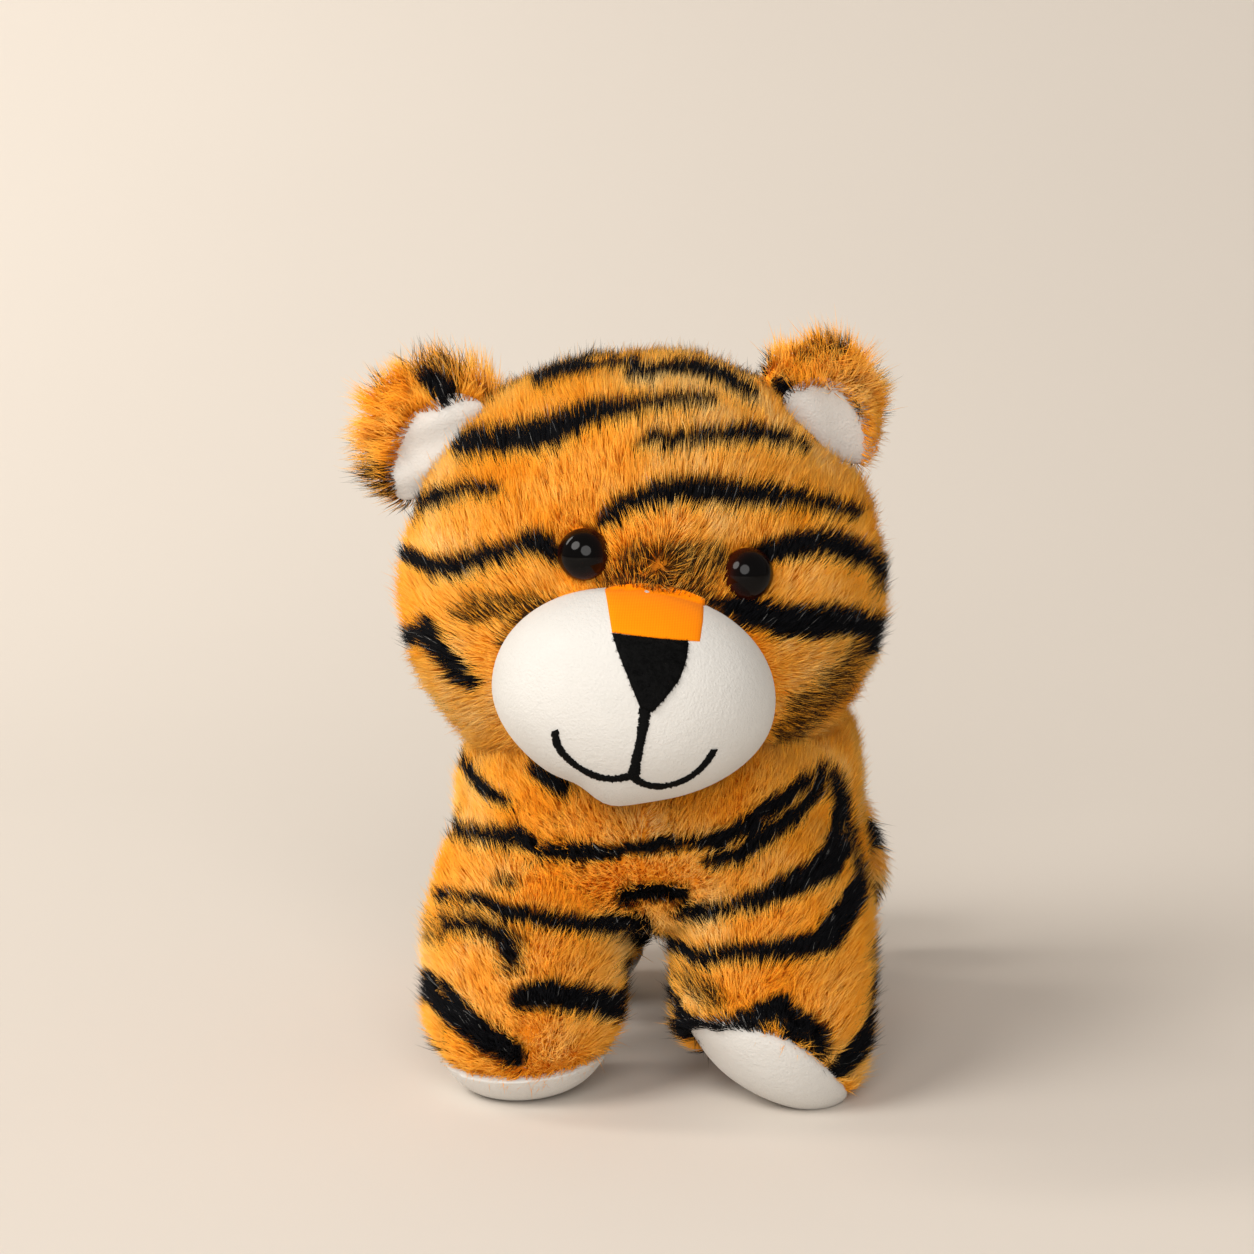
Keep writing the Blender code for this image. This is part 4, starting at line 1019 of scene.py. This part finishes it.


# %% [markdown]
# A skin shows between its strands, so it carries the same paint: each of its points gets the black
# of the strands that grow there, at the dark root end of the colour, which is painted shade. The
# neck between them is a wad of fibre, which the fur hides.

# %% Mount the skins and the neck
paint_skin(head_skin, head_painter)
stuffed(head_skin, "head", "tiger_fur", 0.9, "head_cover", "head_filling")
paint_skin(body_skin, body_painter)
leg_nodes = [f"{leg}_{part}" for leg in LEGS for part in ("cover", "filling")]
stuffed(body_skin, "torso", "tiger_fur", 0.9, "body_cover", "body_filling", "belly_gusset", *leg_nodes)
neck_grid, _ = swelling(0.0115, 0.0115, 0.0115, 0.0220, 1.0, 0.55, rings=24, around=36)
lumps = 1 + 0.05 * rough(neck_grid.reshape(-1, 3), 0.006, 3).reshape(neck_grid.shape[:2])
neck_wad = ringed_object("neck_wad", neck_grid * lumps[..., None] + NECK, polyester_fibre)
stuffed(neck_wad, "neck", "polyester_fibre", 0.7, "neck_filling")
print("mounted:", head_skin.name, body_skin.name, neck_wad.name)

# %% [markdown]
# The muzzle is one white pouch. Its chin hangs a little below the mouth, where the stitches pull
# the cloth in, and beside the chin the cloth runs flat.

# %% The muzzle
muzzle_grid, _ = swelling(*MUZZLE_SIZES, MUZZLE_SIZES[2], 0.9, 0.9, MUZZLE_SQUARE, rings=60, around=96)
muzzle_grid = muzzle_grid[..., [0, 2, 1]] + MUZZLE_MIDDLE
muzzle_grid[..., 0] *= chin_narrowing(muzzle_grid[..., 2])
lowest = np.clip((MUZZLE_MIDDLE[2] - 0.016 - muzzle_grid[..., 2]) / 0.009, 0, 1)
chin = np.exp(-((muzzle_grid[..., 0] + 0.0030) / 0.0075) ** 2) * lowest
beside_chin = np.exp(-((muzzle_grid[..., 0] + 0.0106) / 0.0050) ** 2) * lowest
muzzle_grid[..., 2] += beside_chin * 0.0018 - chin * 0.0018
muzzle_grid[..., 1] -= chin * 0.0006
muzzle_places = from_face(muzzle_grid.reshape(-1, 3)).reshape(muzzle_grid.shape)
muzzle = ringed_object("muzzle", muzzle_places, white_velboa)
stuffed(muzzle, "head", "white_velboa", 0.95, "muzzle_cover", "muzzle_filling")
print("muzzle:", len(muzzle.data.vertices), "points")


# %% [markdown]
# The nose and the orange patch above it are cut pieces sewn over the muzzle. Each is bounded by a
# left and a right edge read from the photograph. Rows between the edges follow the muzzle's formula
# and stand a little proud of it, with edges that turn down into their seam. The patch bows up under
# the fur at its top. The felt has short hairs, which roughen its outline.

# %% Nose and bridge
NOSE_LEFT = [(611, 632), (616, 648), (622, 664), (631, 686), (641, 710)]
NOSE_RIGHT = [(690, 640), (687, 660), (681, 678), (671, 692), (652, 713)]
BRIDGE_LEFT = [(604, 590), (607, 608), (611, 633)]
BRIDGE_RIGHT = [(705, 599), (704, 622), (701, 642)]
BRIDGE_BOW = 0.0023
PATCH_STEPS = 26
PATCH_THICKNESS = 0.0016


def resampled(places, count):
    """Points at even steps along a path."""
    places = np.asarray(places, float)
    run = np.concatenate([[0], np.cumsum(np.linalg.norm(np.diff(places, axis=0), axis=1))])
    steps = np.linspace(0, run[-1], count)
    return np.stack([np.interp(steps, run, places[:, k]) for k in range(places.shape[1])], axis=1)


def sewn_patch(name, left, right, rise, finish, node, bow=0.0):
    """A cut piece on the muzzle between two edges given in pixels."""
    edges = [onto_muzzle(resampled(edge, PATCH_STEPS)) for edge in (left, right)]
    share = np.linspace(0, 1, PATCH_STEPS)[None, :, None]
    grid = edges[0][:, None] * (1 - share) + edges[1][:, None] * share
    v = np.linspace(0, 1, PATCH_STEPS)[:, None]
    u = share[..., 0]
    grid[..., 2] += bow * 4 * u * (1 - u) * (1 - v) ** 2
    from_top = v + 0.1 * (bow > 0)
    from_side = np.minimum(u, 1 - u) * PATCH_STEPS / 2.5
    rim = np.clip(np.minimum(from_side, np.minimum(from_top, 1 - v) * PATCH_STEPS / 2.5), 0, 1)
    lift = rise * np.sqrt(1 - (1 - rim) ** 2) - 0.0002
    reach = muzzle_reach(grid[..., 0], grid[..., 2])[0]
    sheet = np.stack([grid[..., 0], MUZZLE_MIDDLE[1] - reach - lift, grid[..., 2]], axis=-1)
    back = sheet + (0, PATCH_THICKNESS, 0)
    points = from_face(np.concatenate([sheet.reshape(-1, 3), back.reshape(-1, 3)]))
    behind = PATCH_STEPS * PATCH_STEPS
    number = np.arange(behind).reshape(PATCH_STEPS, PATCH_STEPS)
    quads = np.stack([number[:-1, :-1], number[1:, :-1], number[1:, 1:], number[:-1, 1:]], -1).reshape(-1, 4)
    loop = np.concatenate([number[0, :-1], number[:-1, -1], number[-1, :0:-1], number[:0:-1, 0]])
    after = np.roll(loop, -1)
    walls = np.stack([loop, after, after + behind, loop + behind], axis=1)
    thing = mesh_object(name, points, [np.concatenate([quads, quads[:, ::-1] + behind, walls])], finish)
    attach(thing, "head")
    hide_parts(node)
    return thing


def combed(*direction):
    """A coat brushed one way all over."""
    return lambda points, out: np.tile(direction, (len(points), 1))


nose = sewn_patch("nose_felt", NOSE_LEFT, NOSE_RIGHT, 0.0011, black_felt, "nose")
sewn_patch("bridge_jersey", BRIDGE_LEFT, BRIDGE_RIGHT, 0.0008, orange_jersey, "nose_bridge",
           BRIDGE_BOW)
grow("nose_nap", "head", surface_of(nose), lambda points, out, ragged, luck: np.zeros(len(points)),
     combed(0.15, 0.1, -1.0), lambda points, out: out @ BACK > 0.2, 0.0013, lean=0.80, density=9.0,
     finish=black_felt, tuft=0.0012, gather=0.0, mess=0.9, seed=53)


# %% [markdown]
# The mouth is satin stitch: short threads laid side by side across the line, each slanting a little
# and crowning in the middle. Every thread here is its own bent tube, set where the line is seen,
# and no two are quite as long.

# %% The stitched mouth
MOUTH = [[(646, 706, 11), (642, 735, 8), (637, 756, 8), (633, 778, 10)],
         [(555, 731, 7), (556, 742, 7), (562, 753, 7), (576, 766, 6), (594, 776, 7), (613, 780, 7),
          (634, 775, 8)],
         [(632, 776, 8), (643, 784, 7), (658, 787, 7), (676, 784, 6), (694, 775, 6), (707, 762, 6),
          (714, 750, 6)]]
THREAD_PITCH = 0.00030
THREAD_RADIUS = 0.00022
THREAD_RISE, RISE_STEP = 0.00045, 0.00004


def rounded_path(path):
    """A path whose corners have been cut three times."""
    path = np.asarray(path, float)
    for _ in range(3):
        cuts = np.stack([path[:-1] * 0.75 + path[1:] * 0.25, path[:-1] * 0.25 + path[1:] * 0.75], axis=1)
        path = np.concatenate([path[:1], cuts.reshape(-1, path.shape[1]), path[-1:]])
    return path


def threads_across(path, chance):
    """Threads across a path of (x, y, width) in pixels, on the muzzle."""
    smooth = rounded_path(path)
    places = onto_muzzle(smooth[:, :2])
    widths = smooth[:, 2] * PIXEL_SIZE
    length = np.linalg.norm(np.diff(places, axis=0), axis=1).sum()
    line = resampled(np.concatenate([places, widths[:, None]], axis=1), max(4, int(length / THREAD_PITCH)))
    heading = unit(np.gradient(line[:, :3], axis=0))
    share = np.linspace(-1, 1, 7)[:, None]
    for k, (spot, ahead) in enumerate(zip(line, heading)):
        across = unit(np.cross(ahead, [0, -1.0, 0])) + ahead * 0.45
        run = spot[:3] + across * share * spot[3] / 2 * (1 + 0.13 * chance.normal())
        reach = muzzle_reach(run[:, 0], run[:, 2])[0]
        crown = (THREAD_RISE + RISE_STEP * (k % 3)) * np.sqrt(1.02 - share[:, 0] ** 2)
        run[:, 1] = MUZZLE_MIDDLE[1] - reach - crown + 0.0001
        yield run


def tubes_along(threads, radius):
    """Closed six-sided tubes along paths of the same number of points."""
    heading = unit(np.gradient(threads, axis=1))
    side = unit(np.cross(heading, np.array([0, -1.0, 0])))
    over = np.cross(side, heading)
    turns = circle(6)
    around = side[:, :, None] * turns[:, :1] + over[:, :, None] * turns[:, 1:]
    rings = threads[:, :, None] + around * radius
    count, steps, sides = rings.shape[:3]
    k = np.arange(sides)
    quads = np.stack([k, (k + 1) % sides, (k + 1) % sides + sides, k + sides], -1)
    quads = (quads[None] + np.arange(steps - 1)[:, None, None] * sides).reshape(-1, 4)
    caps = np.stack([k[::-1], k + (steps - 1) * sides])
    first = (np.arange(count) * steps * sides)[:, None, None]
    return rings.reshape(-1, 3), [(first + quads).reshape(-1, 4), (first + caps).reshape(-1, sides)]


chance = np.random.default_rng(12)
threads = np.array([thread for path in MOUTH for thread in threads_across(path, chance)])
points, faces = tubes_along(threads, THREAD_RADIUS)
mouth = mesh_object("mouth_stitches", from_face(points), faces, black_thread)
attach(mouth, "head")
print("mouth:", len(threads), "threads")

# %% [markdown]
# Each eye is a polished dome on a narrow rim, with a shank behind it. Near its edge the dome is
# painted red-brown: a painted reflection of the orange fur round the eye.

# %% Eyes
SHANK_END, SHANK_RADIUS, COLLAR_RADIUS = -0.0120, 0.0019, 0.0021
for side, (seat, axis) in eyes.items():
    profile = [(0.0, SHANK_END), (SHANK_RADIUS, SHANK_END), (COLLAR_RADIUS, -0.0004), (COLLAR_RADIUS, 0.0),
               (EYE_RADIUS - 0.0002, 0.0), (EYE_RADIUS, 0.0002)]
    for t in np.linspace(0, np.pi / 2, 15):
        profile.append((EYE_RADIUS * math.cos(t), EYE_RIM + EYE_DOME * math.sin(t)))
    turns = 2 * np.pi * np.arange(48) / 48
    grid = np.array([[(r * math.cos(t), r * math.sin(t), h) for t in turns] for r, h in profile])
    toward = np.array(Vector(axis).to_track_quat("Z", "Y").to_matrix())
    radius = np.linalg.norm(grid[..., :2], axis=-1) / EYE_RADIUS
    edge = np.concatenate([radius[:1, 0], radius[1:-1].ravel(), radius[-1:, 0]])
    # how near its edge each point lies, which the eye finish turns into the painted reflection of the fur
    coat = np.stack([edge, edge, edge], axis=1)
    eye = ringed_object("glass_eye_" + side, grid @ toward.T + seat, eye_plastic, coat)
    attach(eye, "head")
    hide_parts("eye_" + side)
print("eyes:", len(eyes))

# %% [markdown]
# An ear is a fur back with a white lining sewn to its front. The photograph shows the lining low
# down, close against the head, and long loose fur round it that reaches outward. The ears turn on
# their own hinges, so each is a skin, a lining and a coat of its own. The fur ends where the
# photograph's outline of the ear does, and is kept off what it shows of the lining.

# %% Ears
EAR_HALF_DEPTH, EAR_ROOT = 0.0040, 0.0060
LINING_HALF_DEPTH, LINING_FORWARD, LINING_LIFT = 0.0024, -0.0064, 0.0010
EARS = {"right": {"outward": 42, "twist": -14, "half_width": 0.0175, "height": 0.0200, "shift": 0.0,
                  "lining_half_width": 0.0168, "lining_height": 0.0112},
        "left": {"outward": 50, "twist": 22, "half_width": 0.0170, "height": 0.0180, "shift": -0.0015,
                 "lining_half_width": 0.0148, "lining_height": 0.0108}}
EAR_OUTLINES = {
    "right": [(524, 392), (516, 356), (490, 343), (462, 346), (448, 326), (426, 324), (402, 342),
        (384, 368), (364, 390), (361, 430), (350, 478), (364, 500), (392, 516), (436, 512)],
    "left": [(748, 358), (772, 348), (800, 346), (816, 334), (834, 326), (848, 344), (866, 362),
        (884, 394), (878, 424), (868, 450), (870, 486), (856, 500), (838, 480)]}
EAR_LININGS = {
    "right": [(492, 400), (458, 403), (440, 413), (420, 414), (409, 431), (400, 454), (395, 474),
        (400, 500), (412, 508), (428, 506), (460, 470), (500, 420)],
    "left": [(792, 396), (806, 391), (822, 389), (840, 395), (854, 411), (862, 436), (858, 482),
        (840, 480), (800, 455), (780, 420)]}


def ear_bands(points, out):
    return bands(points[:, 2] + 0.4 * points[:, 0], points, 0.021, 0.0, 61)


def make_ear(side, number):
    """One ear: its skin, its lining, the coat on its back and the fur round its lining."""
    sizes = EARS[side]
    sign = -1 if side == "right" else 1
    base = np.array(joints["ear_fold_" + side]["pos_m"])
    tipped = turned_about("Y", sign * (math.pi / 2 - math.radians(sizes["outward"])))
    turn = HEAD_TURN @ tipped @ turned_about("Z", math.radians(sizes["twist"]))
    outline, lining_outline = EAR_OUTLINES[side], EAR_LININGS[side]
    closed = [(x, y, 0) for x, y in outline + outline[:1]]
    wide, high = sizes["lining_half_width"] - 0.0006, sizes["lining_height"] - 0.0006

    def keep(points, out):
        x, y, z = ((points - base) @ turn).T
        on_lining = (y < -0.0004) & ((x / wide) ** 2 + ((z - LINING_LIFT) / high) ** 2 < 1)
        return ~on_lining & (z > -0.002)

    def around_lining(points, out):
        return (out @ BACK > 0.0) & ~within(seen_at(points), lining_outline)

    def lay(points, out):
        x, y, z = ((points - base) @ turn).T
        return np.stack([x * 60, y * 30, 0.8 + 0 * z], axis=1) @ turn.T

    def trim(points, out):
        pixels = seen_at(points)
        gap = -inside(pixels, [closed])
        gap = np.where(within(pixels, outline), gap, -gap)
        sideways = np.sqrt(1 - np.clip(out @ BACK, -1, 1) ** 2).clip(0.45, 1)
        return np.clip((gap + 8) / (42 * sideways), 0.32, 1.15)

    grid, _ = swelling(sizes["half_width"], EAR_HALF_DEPTH, sizes["height"], EAR_ROOT, 1.0, 1.0,
                       rings=36, around=56)
    grid[..., 0] += sizes["shift"]
    skin = ringed_object("ear_skin_" + side, grid @ turn.T + base, tiger_fur)
    lining_grid, _ = swelling(sizes["lining_half_width"], LINING_HALF_DEPTH, sizes["lining_height"],
                              EAR_ROOT, 0.9, 0.9, rings=30, around=48)
    lining_grid[..., 1] += 0.0005 * np.sin(lining_grid[..., 2] * 520 + lining_grid[..., 0] * 260)
    lining_grid = lining_grid + (0, LINING_FORWARD, LINING_LIFT)
    lining = ringed_object("ear_lining_velour_" + side, lining_grid @ turn.T + base, white_velboa)

    body = "ear_" + side
    painter = painted(EAR_STROKES, EAR_SMUDGES, ear_bands)
    paint_skin(skin, painter)
    stuffed(skin, body, "tiger_fur", 0.5, "ear_back_" + side)
    stuffed(lining, body, "white_velboa", 0.3, "ear_lining_" + side)
    grow("ear_fur_" + side, body, surface_of(skin), painter, lay, keep, 0.0100, lean=0.62, density=5.5,
         tuft=0.0032, gather=0.45, mess=0.36, trim=trim, seed=70 + number)
    grow("ear_edge_fur_" + side, body, surface_of(lining), painter, lay, around_lining, 0.0062, lean=0.70,
         density=5.5, tuft=0.0026, gather=0.4, mess=0.34, trim=trim, seed=74 + number)


for number, side in enumerate(EARS):
    make_ear(side, number)

# %% [markdown]
# The soles are white velour, sewn in below the fur. The weight presses a flat into each. They are
# the solids' own leg forms, cut at the seam and closed, so they fill the feet exactly. The rolled
# foot's sole is cut higher and its rim tucked in, and a narrow hem of fur hangs over the seam.

# %% Soles
SOLE_INSET = 0.0012
SEAM_LIFT, ROLLED_SEAM_LIFT = 0.0010, 0.0044
TUCK_DEPTH, TUCK = 0.0018, 0.09


def hem_keep(points, out):
    """The strip between the rolled foot's seam and the edge of its fur."""
    return (above_sole(points) > 0.0) & ~within(seen_at(points), ROLLED_SOLE)


for leg, (x, y, _, (slope, pitch, sole_rise)) in LEGS.items():
    rolled = leg == ROLLED_FOOT
    sole = ringed_object(leg + "_sole_velour", leg_rings(leg, SOLE_INSET, 0.0), white_velboa)
    shell = bmesh.new()
    shell.from_mesh(sole.data)
    tilt = Vector((np.sign(x) * slope, -pitch, 1.0)).normalized()
    lift = ROLLED_SEAM_LIFT if rolled else SEAM_LIFT
    seam = Vector(np.array([x, y, sole_rise + lift]) + STAND)
    everything = shell.verts[:] + shell.edges[:] + shell.faces[:]
    bmesh.ops.bisect_plane(shell, geom=everything, plane_co=seam, plane_no=tilt, clear_outer=True)
    bmesh.ops.holes_fill(shell, edges=[edge for edge in shell.edges if edge.is_boundary])
    for vertex in shell.verts:
        under_fur = min(1, max(0, ((vertex.co - seam).dot(tilt) + TUCK_DEPTH) / TUCK_DEPTH))
        tuck = 1 - TUCK * under_fur * rolled
        vertex.co.x = seam.x + (vertex.co.x - seam.x) * tuck
        vertex.co.y = seam.y + (vertex.co.y - seam.y) * tuck
        vertex.co.z = max(vertex.co.z, 0.0)
    shell.to_mesh(sole.data)
    shell.free()
    stuffed(sole, "torso", "white_velboa", 0.9, leg + "_sole")
    if rolled:
        grow("rolled_hem_fur", "torso", surface_of(sole), body_painter, combed(-0.25, 0.1, 0.8), hem_keep,
             0.0062, lean=0.70, density=8.0, seed=83)
print("soles:", len(LEGS))

# %% [markdown]
# The tail is a tube that leaves the body straight back, bends to the animal's left and hangs beside
# the haunch. Its skin follows the same path as its solid, and black rings go round it.

# %% Tail
TAIL_STEPS = 40
TAIL_RADIUS = 0.0100 - PILE_HEIGHT + 0.0010
TAIL_LENGTH = 0.085


def tail_path(share):
    bend = np.pi / 2 * share
    sideways = 0.048 * np.sin(bend) ** 1.5
    backward = 0.017 * np.sin(np.pi / 2 * np.minimum(1, share / 0.45))
    return np.stack([sideways, backward, -0.040 * (1 - np.cos(bend)) ** 1.15], axis=-1)


share = np.linspace(0, 1, TAIL_STEPS + 1)
centres = tail_path(share)
heading = unit(np.gradient(centres, axis=0))
heading[0] = (0, 1, 0)
across = np.array([1.0, 0, 0])
turns = circle(28)
offsets = {0.0: np.linspace(-1, 0, 5), 1.0: np.linspace(0, 1, 5)}
rings = []
for centre, ahead, s in zip(centres, heading, share):
    across = unit(across - ahead * (across @ ahead))
    over = np.cross(across, ahead)
    radius = TAIL_RADIUS * (1 + 0.10 * math.sin(math.pi * s) - 0.2 * s ** 2)
    for offset in offsets.get(s, [0.0]):
        narrow = radius * math.sqrt(max(0.0, 1 - offset * offset))
        ring = (across * turns[:, :1] + over * turns[:, 1:]) * narrow
        rings.append(centre + ahead * radius * offset + ring)
tail_grid = np.array(rings) + TAIL_ROOT
tail_skin = ringed_object("tail_skin", tail_grid[:, ::-1], tiger_fur)


def nearest_step(points):
    """The step of the tail's path that each point is nearest to."""
    return np.linalg.norm(points[:, None] - (centres + TAIL_ROOT)[None], axis=2).argmin(1)


def tail_lay(points, out):
    return heading[nearest_step(points)] + 0.1 * out


def tail_bands(points, out):
    return bands(nearest_step(points) / TAIL_STEPS * TAIL_LENGTH, points, 0.0215, 0.10, 91)


tail_painter = painted([], [], tail_bands, facing_edge=2.0)
paint_skin(tail_skin, tail_painter)
stuffed(tail_skin, "tail", "tiger_fur", 0.8, "tail")
grow("tail_fur", "tail", surface_of(tail_skin), tail_painter, tail_lay,
     lambda points, out: points[:, 1] > TAIL_ROOT[1] - 0.004, 0.0078, lean=0.7, gather=0.35,
     mess=0.30, seed=92)

# %% [markdown]
# The toy stands on a pale sweep of paper that curves up behind it. A soft window light comes from
# the upper left and in front, a large weak one fills from the front, and a third lights the paper
# at the left, so the shadow under the toy is wide and falls to the right.

# %% Floor and backdrop
SWEEP_HALF_WIDTH, SWEEP_FRONT = 24.0, -24.0
SWEEP_FLAT, SWEEP_BEND, SWEEP_RISE = 0.30, 1.7, 3.4
profile = [(SWEEP_FRONT, 0.0), (0.0, 0.0)]
for a in np.linspace(0, np.pi / 2, 40):
    profile.append((SWEEP_FLAT + SWEEP_BEND * math.sin(a), SWEEP_BEND * (1 - math.cos(a))))
profile.append((SWEEP_FLAT + SWEEP_BEND, SWEEP_RISE))
sweep_points = np.array([(x, y, z) for x in (-SWEEP_HALF_WIDTH, SWEEP_HALF_WIDTH) for y, z in profile])
n = len(profile)
k = np.arange(n - 1)
paper = Finish("sweep_paper", Roughness=0.9, Specular_IOR_Level=0.1)
paper_colour = paper.mix(paper.noise(0.5), (0.66, 0.605, 0.545), (0.69, 0.635, 0.572))
paper_grain = paper.bump(paper.noise(0.002, 3.0), 0.03, 0.0005)
sweep_paper = paper.feed(Base_Color=paper_colour, Normal=paper_grain)
sweep = mesh_object("paper_sweep", sweep_points, [np.stack([k, k + n, k + n + 1, k + 1], 1)], sweep_paper)
print("sweep:", n, "steps")


# %% Lights
def soft_light(name, place, aim, size, power, colour):
    lamp = bpy.data.lights.new(name, "AREA")
    lamp.shape = "DISK"
    lamp.size = size
    lamp.energy = power
    lamp.color = colour
    thing = bpy.data.objects.new(name, lamp)
    bpy.context.scene.collection.objects.link(thing)
    thing.location = place
    thing.rotation_euler = (Vector(aim) - Vector(place)).to_track_quat("-Z", "Y").to_euler()


soft_light("window", (-1.15, -1.25, 1.45), (0.0, 0.0, 0.09), 1.1, 31.5, (1.0, 0.965, 0.92))
soft_light("front_fill", (0.25, -2.7, 1.35), (0.0, 0.0, 0.10), 1.9, 55.0, (1.0, 0.97, 0.94))
soft_light("backdrop_glow", (-1.25, 0.1, 1.2), (-0.95, 1.4, 0.5), 0.8, 17.0, (1.0, 0.95, 0.88))
world = bpy.data.worlds.new("room")
world.use_nodes = True
background = world.node_tree.nodes["Background"]
background.inputs["Color"].default_value = (1.0, 0.955, 0.90, 1.0)
background.inputs["Strength"].default_value = 0.31
bpy.context.scene.world = world
bpy.context.scene.view_settings.view_transform = "Standard"
print("lights:", len(bpy.data.lights))
